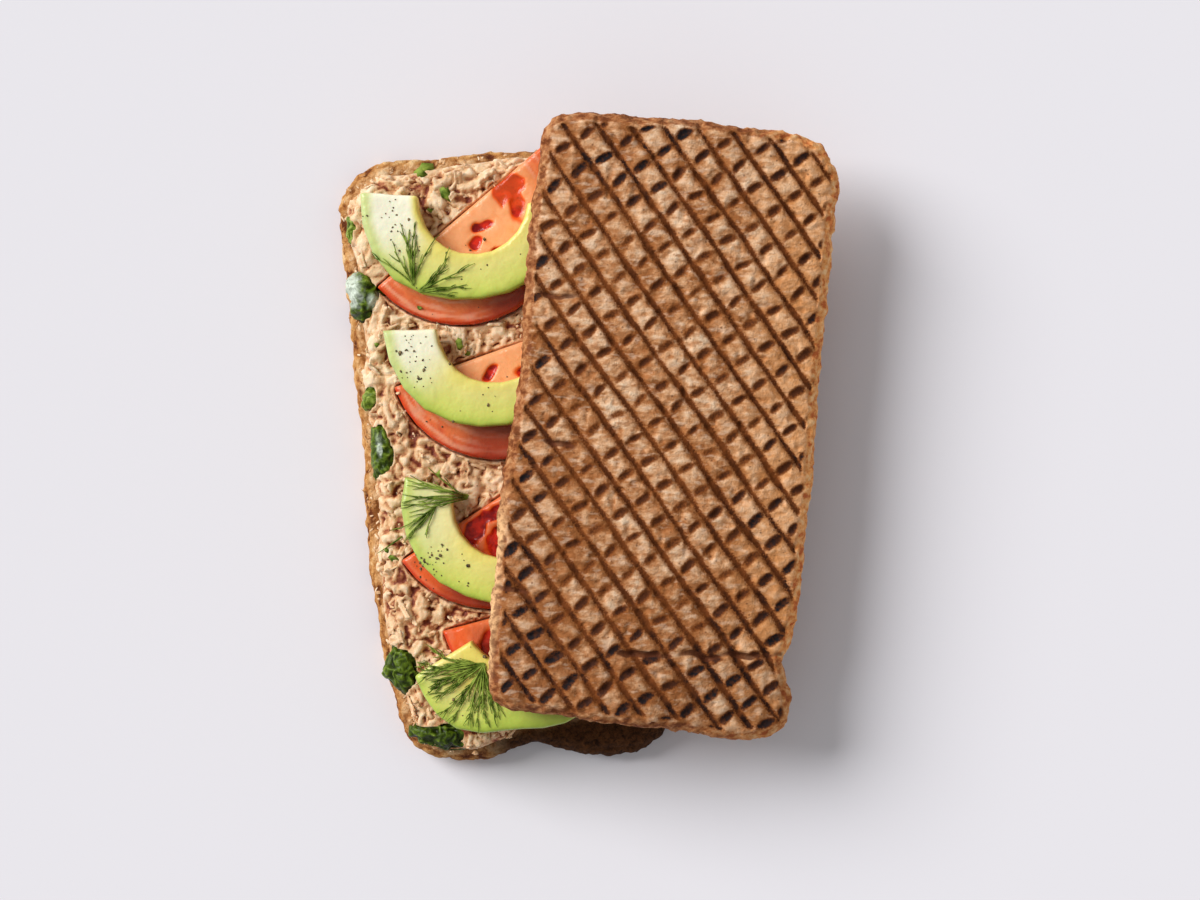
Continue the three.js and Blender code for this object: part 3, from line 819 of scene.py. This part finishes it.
# Each slice of tomato in mm: its centre and radius, the turn of its straight cut in degrees, how ripe it is,
# how far along the sandwich its pulp turns orange, and how far across it the painted shadow of the upper
# slice starts
TOMATOES = {
    "tomato_1": {"x": -39.2, "y": 70.1, "radius": 34, "cut": 40.3, "ripe": 0.05, "orange": 71, "wet": -36},
    "tomato_2": {"x": -27.8, "y": 28.3, "radius": 34, "cut": 19.5, "ripe": 0.05, "orange": 99, "wet": -43},
    "tomato_3": {"x": -29.9, "y": -19, "radius": 33, "cut": 33, "ripe": 0.7, "orange": 99, "wet": -50},
    "tomato_4": {"x": -17.6, "y": -51.5, "radius": 28, "cut": 15, "ripe": 0.7, "orange": 99, "wet": -38},
}

# Its seed pockets in mm: place in the slice, half length, half width, and turn in degrees
POCKETS = {
    "tomato_1": [
        (7.1, -3.3, 3.8, 1.8, 20),
        (5.2, -8.4, 2.6, 1.9, 50),
        (14.5, 8.5, 5.6, 4.6, 45),
        (17.5, 3.0, 5.5, 2.8, 95),
        (12, -13, 5, 3, 20),
    ],
    "tomato_2": [(-1.6, -6.8, 3.4, 1.5, 52), (9.5, -7, 4, 3, 0)],
    "tomato_3": [
        (-4.5, -8.5, 5.5, 3.4, 60),
        (1.5, -3.5, 5.5, 2.6, 25),
        (8, -2, 6, 4, 20),
        (2.5, -11.5, 7, 3.6, 75),
    ],
    "tomato_4": [(-13.2, -13, 7, 2.4, 82), (8, -8, 5, 3, 0)],
}


def tomato(node, material):
    """A half-moon slice with sunk seed pockets, fine streaks towards its skin, and painted shadow on its side
    under the upper slice.
    """
    kind = TOMATOES[node]
    x, y, radius = kind["x"] * MM, kind["y"] * MM, kind["radius"] * MM
    orange_from, wet_from = kind["orange"] * MM, kind["wet"] * MM
    piece = copy_of(node, node.replace("tomato", "tomato_slice"))
    remesh(piece, SLICE_CELL, 3)
    flat = lay_flat(points_of(piece), x, y, 0)
    across, along, height = flat.T
    from_centre = np.hypot(across, along)
    from_cut = turned(flat, -math.radians(kind["cut"]))[:, 1]
    inside = (from_centre < radius - 1.3 * MM) & (from_cut < -1.3 * MM)
    height[inside & (height > 2.6 * MM)] = TOMATO_THICKNESS
    pocket = np.zeros(len(flat))
    for px, py, half_length, half_width, turn in POCKETS[node]:
        around = turned(flat - np.array([px * MM, py * MM, 0]), -math.radians(turn))
        reach = np.hypot(around[:, 0] / (half_length * MM), around[:, 1] / (half_width * MM))
        pocket = np.maximum(pocket, step(reach + 0.3 * lumps(flat, 2.2 * MM, 4), 1.2, 0.6))
    up = step(height, 2.5 * MM, 4 * MM)
    pulp = pocket * (0.25 * MM * lumps(flat, 1.9 * MM, 5) - 0.8 * MM)
    along_rim = np.arctan2(along, across) * radius
    streak = lumps(np.stack([along_rim * 0.16, from_centre], axis=1), 0.9 * MM, 3)
    height += up * (0.25 * MM * lumps(flat, 4 * MM, 2) + 0.07 * MM * streak + pulp)
    points = lift_back(flat, x, y, 0)
    put_points(piece, points)
    band = step(from_centre, radius - 15 * MM, radius - 11 * MM) * step(along, 0, -9 * MM)
    paint(
        piece,
        pocket=pocket * up,
        dark_pulp=1 - 0.45 * step(points[:, 1], orange_from, orange_from + 3 * MM),
        heart=step(from_centre, radius - 1 * MM, radius - 14 * MM),
        streak=step(streak, 0.0, 0.7) * step(from_centre, radius - 13 * MM, radius - 8 * MM),
        ripe=np.full(len(points), kind["ripe"]),
        # Painted shadow of the upper slice over the band by the skin, towards the right.
        wet=0.8 * band * step(points[:, 0], wet_from, wet_from + 11 * MM),
        skin=step(from_centre, radius - 1.5 * MM, radius - 0.7 * MM) * step(from_cut, 0, -1.2 * MM),
    )
    return finish(piece, material, [node])


# Each stoned ring of avocado in mm: its centre, the radius of its hollow, how deep the green goes in its left
# arm and in its foot (in the fourth, the deep green of its foot is partly painted shade under the upper
# slice), and how much the top of its left arm is painted paler: cream flesh and a painted highlight
AVOCADOS = {
    "avocado_1": {"x": -34.9, "y": 74.6, "hollow": 16.9, "arm_green": 16, "foot_green": 16, "creamy": 0.95},
    "avocado_2": {"x": -28.5, "y": 35.5, "hollow": 17.5, "arm_green": 16, "foot_green": 16, "creamy": 0.9},
    "avocado_3": {"x": -24.5, "y": -19.5, "hollow": 16.6, "arm_green": 16, "foot_green": 19, "creamy": 0.3},
    "avocado_4": {"x": -21.1, "y": -52.4, "hollow": 16.6, "arm_green": 11, "foot_green": 55, "creamy": 0.2},
}


def avocado(node, material):
    """Half a ring of avocado: green along its skin, yellow at its hollow, paler on top of its left arm with
    cream flesh and a painted highlight.
    """
    kind = AVOCADOS[node]
    x, y, hollow = kind["x"] * MM, kind["y"] * MM, kind["hollow"] * MM
    arm_green, foot_green = kind["arm_green"] * MM, kind["foot_green"] * MM
    below = TOMATO_THICKNESS + GAP
    piece = copy_of(node, node.replace("avocado", "avocado_slice"))
    remesh(piece, SLICE_CELL, 4)
    flat, normals = lay_flat(points_of(piece), x, y, below), normals_of(piece)
    across, along, height = flat.T
    outwards = flat[:, :2] / np.linalg.norm(flat[:, :2], axis=1)[:, None]
    facing = (normals[:, :2] * outwards).sum(axis=1)
    mid_height = np.abs(height - AVOCADO_THICKNESS / 2) < 1.5 * MM
    wall = flat[(facing > 0.8) & mid_height & (np.hypot(across, along) > hollow + 5 * MM)]
    from_skin = distance_to(wall[::2], flat)
    angle = np.degrees(np.arctan2(along, across)) % 360
    flat += normals * (0.18 * MM * lumps(flat, 8 * MM, 6) + 0.05 * MM * lumps(flat, 2 * MM, 7))[:, None]
    put_points(piece, lift_back(flat, x, y, below))
    top = step(height, AVOCADO_THICKNESS - 2.4 * MM, AVOCADO_THICKNESS - 0.8 * MM)
    # Paler top of the left arm: cream flesh, with a painted highlight on top.
    pale = top * step(angle, 236, 192) * (0.3 + 0.7 * step(from_skin, 1.5 * MM, 5 * MM))
    # In the fourth avocado the foot is deep green partly as painted shade under the upper slice.
    green_depth = arm_green + (foot_green - arm_green) * step(angle, 225, 290)
    paint(piece, skin=np.clip(from_skin / green_depth, 0, 1))
    paint(piece, pale=kind["creamy"] * pale * step(from_skin, 17 * MM, 14.5 * MM))
    return finish(piece, material, [node])


# ---- Tuna ----

# How far apart the fibres lie, and the corner of the heap that is pressed down so that the bread shows
HEAP_FIBRES = 1.7 * MM
FLAKE_FIBRES = 1.3 * MM
BARE_CORNER = (-77 * MM, 89 * MM)
BARE_DEPTH = 5 * MM

# The ways in which a place can be open: straight up, steeply up and nearly level, all round
WAYS_OUT = [Vector((0, 0, 1))]
for first, apart, sideways, up in ((0, 0.7, 0.8, 0.6), (0.3, 0.5, 1.0, 0.12)):
    for angle in np.arange(first, 2 * math.pi, apart):
        WAYS_OUT.append(Vector((math.cos(angle) * sideways, math.sin(angle) * sideways, up)))


def can_be_seen(place, others):
    """Whether there is a clear way out from a place past the others."""
    return any(others.ray_cast(place + way * MM, way)[0] is None for way in WAYS_OUT)


def torn_chunks(points, size, seed):
    """Chunks of meat about that size, each longer one way: how far each point is inside the edge of its
    chunk, how high the chunk lies there, its own tone, and how far across its fibres the point is."""
    grid = points / size
    below = np.floor(grid).astype(np.int64)
    nearest, second = np.full(len(points), 9.0), np.full(len(points), 9.0)
    height, tone, across = np.zeros(len(points)), np.zeros(len(points)), np.zeros(len(points))
    for corner in itertools.product((-1, 0, 1), repeat=3):
        cell = below + corner
        away = grid - cell - np.stack([0.5 + 0.5 * shuffled(cell, seed + i) for i in range(3)], axis=1)
        heading = math.pi * shuffled(cell, seed + 3)
        along = away[:, 0] * np.cos(heading) + away[:, 1] * np.sin(heading)
        aside = away[:, 1] * np.cos(heading) - away[:, 0] * np.sin(heading)
        distance = np.sqrt((0.55 * along) ** 2 + (1.5 * aside) ** 2 + away[:, 2] ** 2)
        closer = distance < nearest
        second = np.where(closer, nearest, np.minimum(second, distance))
        nearest = np.minimum(nearest, distance)
        tilted = 0.6 * along * shuffled(cell, seed + 5) + 1.0 * aside * shuffled(cell, seed + 6)
        height = np.where(closer, 0.6 * shuffled(cell, seed + 4) + tilted, height)
        tone = np.where(closer, shuffled(cell, seed + 7), tone)
        across = np.where(closer, aside * size, across)
    return second - nearest, height, tone, across


def pitted(points):
    """Pits between the flakes, large and small; where they are, the meat is painted darker, as painted shade.
    """
    large, small = lumps(points, 3.6 * MM, 63), lumps(points, 2 * MM, 64)
    return np.maximum(step(large, 0.36, 0.6), 0.8 * step(small, 0.38, 0.62))


def tuna_shadow(points):
    """How much darker the meat is towards the lower end of the sandwich."""
    return 0.085 * step(points[:, 1], 20 * MM, -10 * MM) + 0.08 * step(points[:, 1], -36 * MM, -56 * MM)


def tuna_core(others, material):
    """The heap: torn chunks of meat wherever it can be seen, with deep gaps between them."""
    piece = copy_of("tuna", "tuna_heap")
    remesh(piece, HEAP_CELL, 2)

    def shows(face):
        return face.normal.z > -0.3 and can_be_seen(face.center + face.normal * 0.3 * MM, others)

    split_faces(piece, shows, smoothness=0.5)
    points, normals = points_of(piece), normals_of(piece)
    ragged = pushed_about(points, 0.7 * MM, 1.8 * MM, 21)
    edge, height, tone, across = torn_chunks(ragged, 6.0 * MM, 31)
    small_edge, small_height, small_tone, _ = torn_chunks(ragged, 3.3 * MM, 51)
    gap, small_gap = 1 - step(edge, 0, 0.28), 1 - step(small_edge, 0, 0.2)
    fibres = np.sin(2 * math.pi * across / HEAP_FIBRES) * (1 - gap)
    blotches = 0.6 * lumps(points, 3.2 * MM, 61) + 0.4 * lumps(points, 1.5 * MM, 62)
    pits = pitted(points)
    room = np.array([others.find_nearest(Vector(place))[3] for place in points])
    relief = height + 0.4 * small_height - 0.8 * gap - 0.2 * small_gap - pits + 0.12 * fibres
    relief = (relief * step(room, 0.25 * MM, 1.4 * MM) - 0.2) * step(normals[:, 2], -0.4, 0.3)
    from_corner = np.hypot(points[:, 0] - BARE_CORNER[0], points[:, 1] - BARE_CORNER[1])
    uneven = points + normals * (MM * relief)[:, None]
    uneven[:, 2] -= BARE_DEPTH * step(from_corner, 16 * MM, 11 * MM)
    put_points(piece, uneven)
    # The tone is painted darker in the gaps between chunks, in the pits and in the hollows, and lighter along
    # the fibre ridges: painted shade and painted light that follow the relief.
    shade = 0.74 + 0.09 * tone + 0.08 * small_tone + 0.22 * blotches + 0.04 * fibres
    shade -= 0.26 * gap + 0.36 * pits + tuna_shadow(points)
    paint(piece, tone=shade - 0.3 * hollows(piece, 0.8 * MM))
    return finish(piece, material, ["tuna"])


def cut_out(piece):
    """The shape of a piece that is only made to be copied. The piece itself is taken away."""
    shape = shape_of(piece)
    bpy.data.objects.remove(piece)
    return shape


def rough_grain(seed, uneven):
    """A small lump with two dozen faces, about one unit across."""
    bpy.ops.mesh.primitive_cube_add(size=0.8)
    with edit_mode():
        bpy.ops.mesh.subdivide(number_cuts=1, smoothness=0.9)
        bpy.ops.transform.vertex_random(offset=uneven, uniform=0.7, seed=seed)
    return cut_out(bpy.context.object)


def fibrous_flake(seed):
    """A flake of meat one unit long: a slab of parallel fibres, torn at its ends."""
    bpy.ops.mesh.primitive_grid_add(x_subdivisions=4, y_subdivisions=4, size=1)
    flake = bpy.context.object
    with edit_mode():
        bpy.ops.mesh.extrude_region_move(TRANSFORM_OT_translate={"value": (0, 0, 0.45)})
        bpy.ops.transform.resize(value=(0.8, 0.8, 1))
        bpy.ops.mesh.select_all(action="SELECT")
        bpy.ops.transform.vertex_random(offset=0.09, uniform=0.5, seed=seed)
        bpy.ops.mesh.normals_make_consistent(inside=False)
    points = points_of(flake)
    rows = np.round(points[:, 1] * 5).astype(int)
    points[:, 2] += 0.11 * (rows % 2) * (points[:, 2] > 0.2)
    points[:, 0] += 0.16 * shuffled(rows[:, None], seed) * np.sign(points[:, 0])
    put_points(flake, points - np.array([0, 0, 0.25]))
    return cut_out(flake)


def seen_places(piece, others, draw, count):
    """Random places on the piece with a clear way out past the others, each with its way outwards."""
    faces = [face for face in piece.data.polygons if face.normal.z > -0.2]
    chances = np.cumsum(np.array([face.area for face in faces]))
    for _ in range(count):
        face = faces[int(np.searchsorted(chances, draw.random() * chances[-1]))]
        place = face.center + face.normal * 0.1 * MM
        if others is None or can_be_seen(place, others):
            yield place, face.normal


# A whole turn, in radians
ALL_ROUND = 6.283


def placing(place, outwards, draw, size, long, thin, tip):
    """A matrix that lays a unit shape at a place, turned at random about the way outwards."""
    upright = outwards.to_track_quat("Z", "Y").to_matrix().to_4x4()
    turn = Euler((draw.gauss(0, tip), draw.gauss(0, tip), draw.uniform(0, ALL_ROUND)))
    sizes = Matrix.Diagonal((size * long, size, size * thin, 1))
    return Matrix.Translation(place) @ upright @ turn.to_matrix().to_4x4() @ sizes


def joined_copies(name, shapes, placings, material):
    """One piece with a copy of a shape at each placing: which shape, its matrix, and a tone if it has one."""
    copies, tones = [], []
    for which, matrix, *tone in placings:
        points, faces = shapes[which]
        copies.append((points @ np.array(matrix.to_3x3()).T + np.array(matrix.translation), faces))
        tones.extend(tone * len(points))
    points, faces = joined(copies)
    mesh = bpy.data.meshes.new(name)
    mesh.from_pydata(points, [], faces)
    piece = new_piece(name, mesh)
    if tones:
        paint(piece, tone=tones)
    return finish(piece, material)


def tuna_flakes(core, others, material, draw):
    """Loose flakes on the heap, softened into one another where they touch."""
    shapes = [fibrous_flake(seed) for seed in range(5)]
    placings = []
    for place, outwards in seen_places(core, others, draw, FLAKES_TRIED):
        size, long, thin = draw.uniform(1.2, 3.0) * MM, draw.uniform(1.4, 2.5), draw.uniform(0.4, 0.7)
        middle = place + outwards * draw.uniform(-0.2, 0.4) * MM
        matrix = placing(middle, outwards, draw, size, long, thin, 0.35)
        which = draw.randrange(5)
        if others.find_nearest(place)[3] > 0.26 * size * long:
            placings.append((which, matrix))
    piece = joined_copies("tuna_flakes", shapes, placings, material)
    remesh(piece, FLAKE_CELL, 5)
    points, normals = points_of(piece), normals_of(piece)
    middles = np.array([matrix.translation for _, matrix in placings])
    sideways = np.array([matrix.col[1].xyz.normalized() for _, matrix in placings])
    nearest = np.argmin((middles**2).sum(axis=1) - 2 * points @ middles.T, axis=1)
    aside = ((points - middles[nearest]) * sideways[nearest]).sum(axis=1)
    fibres = np.sin(2 * math.pi * aside / FLAKE_FIBRES)
    relief = 0.13 * lumps(points, 1.0 * MM, 5) + 0.2 * lumps(points, 2.4 * MM, 6) + 0.12 * fibres
    put_points(piece, points + normals * (MM * relief)[:, None])
    blotches = 0.6 * lumps(points, 3.2 * MM, 7) + 0.4 * lumps(points, 1.4 * MM, 8)
    # Painted shade in the pits and hollows and painted light along the fibre ridges, as on the heap.
    shade = 0.67 + 0.26 * blotches + 0.07 * fibres - 0.24 * pitted(points) - tuna_shadow(points)
    paint(piece, tone=shade - 0.45 * hollows(piece, 0.8 * MM))
    return finish(piece, material)


def tuna_crumbs(core, others, material, draw):
    """Small crumbs of tuna on and between the flakes."""
    shapes = [rough_grain(seed, 0.22) for seed in range(4)]
    placings = []
    for place, outwards in seen_places(core, others, draw, CRUMBS_TRIED):
        size, long = draw.uniform(0.5, 1.0) * MM, draw.uniform(1.0, 2.2)
        matrix = placing(place + outwards * draw.uniform(0.6, 1.5) * MM, outwards, draw, size, long, 0.7, 0.6)
        if others.find_nearest(place)[3] > 0.4 * size * long:
            placings.append((draw.randrange(4), matrix, draw.gauss(0.64, 0.1)))
    return joined_copies("tuna_crumbs", shapes, placings, material)


# ---- Sauce, herbs, pepper and bran ----

# Where light glares off a drop: how far across and up it, over what share of it, and how strongly
GLARE = {
    "sauce_2": [(0.05, 0.64, 0.44, 1.0), (0.72, 0.42, 0.18, 0.8)],
    "sauce_4": [(0.35, 0.52, 0.13, 0.9), (0.3, 0.64, 0.13, 0.35)],
}

# How much paler each drop is than the second
PALER = {"sauce_1": 0.24, "sauce_3": 0.2, "sauce_4": 0.04, "sauce_5": -0.02, "sauce_6": -0.12}


def sauce_drop(node, material):
    """A drop of sauce, crinkled by the chopped leaves under its skin."""
    piece = copy_of(node, node.replace("sauce", "herb_sauce"))
    remesh(piece, DROP_CELL, 3)
    points, normals = points_of(piece), normals_of(piece)
    low, high = points.min(axis=0), points.max(axis=0)
    points[:, :2] += 0.06 * (points - (low + high) / 2)[:, :2]
    bent = pushed_about(points, 1.5 * MM, 2.6 * MM, 8)
    folds = 1 - 2.4 * np.abs(lumps(bent, 2.8 * MM, 3))
    small = lumps(bent, 1.3 * MM, 4)
    put_points(piece, points + normals * (0.6 * MM * folds + 0.3 * MM * small - 0.3 * MM)[:, None])
    share = (points - low) / (high - low)
    # The tone is painted lighter on the fold crests and darker in the hollows and towards the lower end of
    # the drop: painted light and painted shade.
    tone = 0.4 + 0.08 * folds + 0.08 * small + PALER.get(node, 0) - 0.14 * step(share[:, 1], 0.35, 0.0)
    glare = np.zeros(len(points))
    for across, up, wide, strength in GLARE.get(node, []):
        reach = np.hypot(share[:, 0] - across, share[:, 1] - up) / wide + 0.3 * small
        glare = np.maximum(glare, strength * step(reach, 1.2, 0.3))
    paint(piece, milky=glare, tone=tone - 0.5 * hollows(piece, 0.6 * MM))
    return finish(piece, material, [node])


def top_at(tree, x, y):
    """The height of what lies at a place, seen from above."""
    found = tree.ray_cast(Vector((x, y, 0.1)), Vector((0, 0, -1)))[0]
    return found.z if found else BREAD_THICKNESS


# Sprigs of dill in mm: where the fronds start, how leafy they are, then for each frond its heading in degrees
# and its length
SPRIGS = [
    ((-53.4, 48.4, 0.12), [(131, 15.5), (121, 12), (112, 17), (102, 20), (93, 15), (86, 17), (79, 18)]),
    ((-51.6, 46.3, 0.14), [(49, 12), (37, 13.5), (24, 15.5), (13, 13.5), (2, 15), (354, 11)]),
    (
        (-37.2, -17.0, 0.07),
        [(150, 15), (157, 17), (164, 18.5), (170, 19), (176, 20), (182, 20), (188, 19.5), (194, 18)]
        + [(201, 15)],
    ),
    ((-46.5, -19.6, 0.12), [(205, 11), (216, 14), (226, 15), (236, 13), (247, 10)]),
    ((-57.5, -29.5, 0.0), [(223, 9.5)]),
    (
        (-31.6, -68.6, 0.38),
        [(166, 12), (172, 14), (177, 17), (182, 20), (187, 20), (193, 20), (199, 18), (206, 16), (213, 17)]
        + [(221, 18), (230, 19), (239, 20), (248, 19), (257, 18), (266, 18), (275, 17), (285, 15)],
    ),
]


# In mm
STEM_THICKNESS = 0.27
LEAF_THICKNESS = 0.2


def strand(curves, toppings, x, y, heading, length, thickness, bend, lift):
    """Adds one stem or leaf of dill to the curves and gives its places back. Its length, thickness and lift
    are in mm."""
    count = max(4, int(length / 1.3))
    path = []
    for _ in range(count + 1):
        path.append((x, y))
        heading += bend / count
        x += math.cos(heading) * length * MM / count
        y += math.sin(heading) * length * MM / count
    tops = [top_at(toppings, *place) for place in path]
    smooth = [max(tops[max(0, i - 1) : i + 2]) for i in range(len(tops))]
    spline = curves.splines.new("NURBS")
    spline.points.add(count)
    for i, (place, top) in enumerate(zip(path, smooth)):
        share = i / count
        rise = thickness * MM + lift * MM * math.sin(math.pi * min(1, share * 1.2))
        spline.points[i].co = (*place, top + rise, 1)
        spline.points[i].radius = thickness * MM * (1 - 0.65 * share**2)
    spline.use_endpoint_u = True
    spline.order_u = 3
    return path


def dill(toppings, material, draw):
    """Dill fronds: thin stems that lie over the filling, with short leaves along them."""
    curves = bpy.data.curves.new("dill", "CURVE")
    curves.dimensions = "3D"
    curves.bevel_depth = 1.0
    curves.bevel_resolution = 0
    curves.resolution_u = 3
    for (x, y, leafy), fronds in SPRIGS:
        for heading, length in fronds:
            angle = math.radians(heading + draw.gauss(0, 3))
            bend = draw.gauss(0, 0.28)
            start = x * MM + draw.gauss(0, 0.3) * MM, y * MM + draw.gauss(0, 0.3) * MM
            lift = draw.uniform(0.2, 1.0)
            stem = strand(curves, toppings, *start, angle, length, STEM_THICKNESS, bend, lift)
            for i in range(2, len(stem) - 1):
                for side in (-1, 1):
                    if draw.random() < leafy * 1.6:
                        turn = angle + bend * i / len(stem) + side * draw.uniform(0.3, 0.7)
                        leaf, lift = draw.uniform(2.2, 5.0), draw.uniform(0.2, 0.9)
                        curl = -side * 0.4
                        strand(curves, toppings, *stem[i], turn, leaf, LEAF_THICKNESS, curl, lift)
    pick(new_piece("dill_sprigs", curves))
    bpy.ops.object.convert(target="MESH")
    return finish(bpy.context.object, material)


# Where pepper fell in mm: the middle of each patch, how wide it spread, and how many grains
PEPPER_PATCHES = [
    (-60.2, 72.6, 1.0, 3),
    (-68.0, 69.5, 1.2, 3),
    (-58.0, 66.5, 3.2, 12),
    (-56.5, 60.5, 3.5, 10),
    (-40, 50, 9, 15),
    (-54.5, 27.5, 3.4, 22),
    (-52.5, 20.5, 3.0, 16),
    (-38, 12, 8, 18),
    (-47.5, -34.5, 2.6, 20),
    (-50.0, -38.0, 2.4, 18),
    (-40, -42, 5, 10),
    (-42, -76, 7, 12),
]


def black_pepper(toppings, material, draw):
    """Coarse grains of pepper on the avocado and what lies by it."""
    shapes = [rough_grain(seed, 0.2) for seed in range(3)]
    placings = []
    for x, y, spread, count in PEPPER_PATCHES:
        for _ in range(count):
            px, py = (x + draw.gauss(0, spread)) * MM, (y + draw.gauss(0, spread)) * MM
            size = min(0.25 + draw.expovariate(6), 0.9) * MM
            place = Vector((px, py, top_at(toppings, px, py) + 0.15 * size))
            matrix = placing(place, Vector((0, 0, 1)), draw, size, 1.2, 0.6, 0.5)
            placings.append((draw.randrange(3), matrix))
    return joined_copies("black_pepper", shapes, placings, material)


# Scraps of green herb in the tuna in mm: place, length and how wide each is for its length
HERB_SCRAPS = [
    (-50.6, 85.0, 4.2, 0.8),
    (-51.6, 83.0, 2.6, 0.9),
    (-43.8, 77.0, 3.4, 0.7),
    (-48.5, 72.0, 1.8, 0.7),
    (-39.5, 30.5, 2.8, 0.6),
    (-37.0, 27.5, 1.6, 0.8),
    (-60.0, -36.5, 2.6, 0.7),
    (-62.0, -34.0, 1.8, 0.6),
    (-65.0, 30.0, 1.6, 0.7),
    (-46.0, -10.0, 1.8, 0.6),
    (-52.0, 41.5, 1.5, 0.7),
]


def chopped_herbs(toppings, material, draw):
    """Thin scraps of leaf lying on the tuna."""
    shapes = [rough_grain(seed, 0.25) for seed in range(3)]
    placings = []
    for x, y, length, wide in HERB_SCRAPS:
        place = Vector((x * MM, y * MM, top_at(toppings, x * MM, y * MM) + 0.25 * MM))
        matrix = placing(place, Vector((0, 0, 1)), draw, length * wide * MM, 1 / wide, 0.35, 0.3)
        placings.append((draw.randrange(3), matrix))
    return joined_copies("chopped_herbs", shapes, placings, material)


def bran_flakes(bread, filling, material, draw):
    """Flat flakes of bran, set into the surface of the lower slice wherever it is bare."""
    shapes = [rough_grain(seed, 0.2) for seed in range(10, 14)]
    placings = []
    for place, outwards in seen_places(bread, None, draw, BRAN_TRIED):
        size, long = 0.3 * MM + draw.expovariate(4) * MM, draw.uniform(1.5, 4.0)
        matrix = placing(place - outwards * 0.06 * MM, outwards, draw, min(size, 0.8 * MM), long, 0.3, 0.12)
        bare = place.y > -82 * MM and filling.find_nearest(place)[3] > 0.6 * MM
        if outwards.z > 0.5 and bare:
            placings.append((draw.randrange(4), matrix, draw.gauss(0.5, 0.22)))
    return joined_copies("bran_on_lower_bread", shapes, placings, material)


# ---- Floor, light and camera ----

LIGHT_BEARING = math.radians(150)
LIGHT_HEIGHT = math.radians(35)


def studio():
    """A pale floor, soft light from the upper left, and a camera straight above."""
    bpy.ops.mesh.primitive_plane_add(size=8)
    floor = bpy.context.object
    floor.name = "floor"
    ground = Finish("pale_floor", 0.9, Specular_IOR_Level=0.0)
    floor.data.materials.append(ground.done((0.815, 0.797, 0.838)))
    floor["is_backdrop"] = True

    east = math.cos(LIGHT_BEARING) * math.cos(LIGHT_HEIGHT)
    north = math.sin(LIGHT_BEARING) * math.cos(LIGHT_HEIGHT)
    bpy.ops.object.light_add(type="SUN")
    key = bpy.context.object
    key.name = "window_light"
    key.data.energy = 3.41
    key.data.angle = math.radians(36)
    key.rotation_mode = "QUATERNION"
    key.rotation_quaternion = Vector((east, north, math.sin(LIGHT_HEIGHT))).to_track_quat("Z", "Y")

    world = bpy.data.worlds.new("room")
    bpy.context.scene.world = world
    world.use_nodes = True
    sky = world.node_tree.nodes["Background"]
    sky.inputs["Color"].default_value = (1, 1, 1, 1)
    sky.inputs["Strength"].default_value = 0.38

    bpy.ops.object.camera_add(location=(4.1 * MM, -2.6 * MM, 1))
    camera = bpy.context.object
    camera.name = "camera"
    camera.data.sensor_width = 36
    camera.data.lens = 94.84
    camera.data.clip_start = 0.05
    bpy.context.scene.camera = camera
    bpy.context.scene.view_settings.view_transform = "Standard"


# ---- The sandwich ----

draw = random.Random(7)
studio()
lower = bread_slice("bread_bottom", "lower_bread", LOWER_SLICE, False, pale_bread())
upper = bread_slice("bread_top", "upper_bread", UPPER_SLICE, True, toasted_bread())
tomato_finish = tomato_flesh()
tomatoes = [tomato(node, tomato_finish) for node in TOMATOES]
avocado_finish = avocado_flesh()
avocados = [avocado(node, avocado_finish) for node in AVOCADOS]
sauce_finish = herb_sauce()
drops = [sauce_drop(f"sauce_{i}", sauce_finish) for i in range(1, 7)]
tuna_finish = tuna_meat()
around_tuna = tree_of([upper, lower, *tomatoes, *avocados, *drops])
core = tuna_core(around_tuna, tuna_finish)
flakes = tuna_flakes(core, around_tuna, tuna_finish, draw)
tuna_crumbs(core, around_tuna, tuna_finish, draw)
toppings = tree_of([core, flakes, lower, *tomatoes, *avocados, *drops])
herbs = dill_leaf()
dill(toppings, herbs, draw)
black_pepper(toppings, pepper(), draw)
chopped_herbs(toppings, herbs, draw)
bran_flakes(lower, tree_of([core, *drops]), bran(), draw)

VISUAL_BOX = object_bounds()
boxes = {"cad": CAD_BOX, "visual": VISUAL_BOX}
{name: [list(corner) for corner in box] for name, box in boxes.items()}
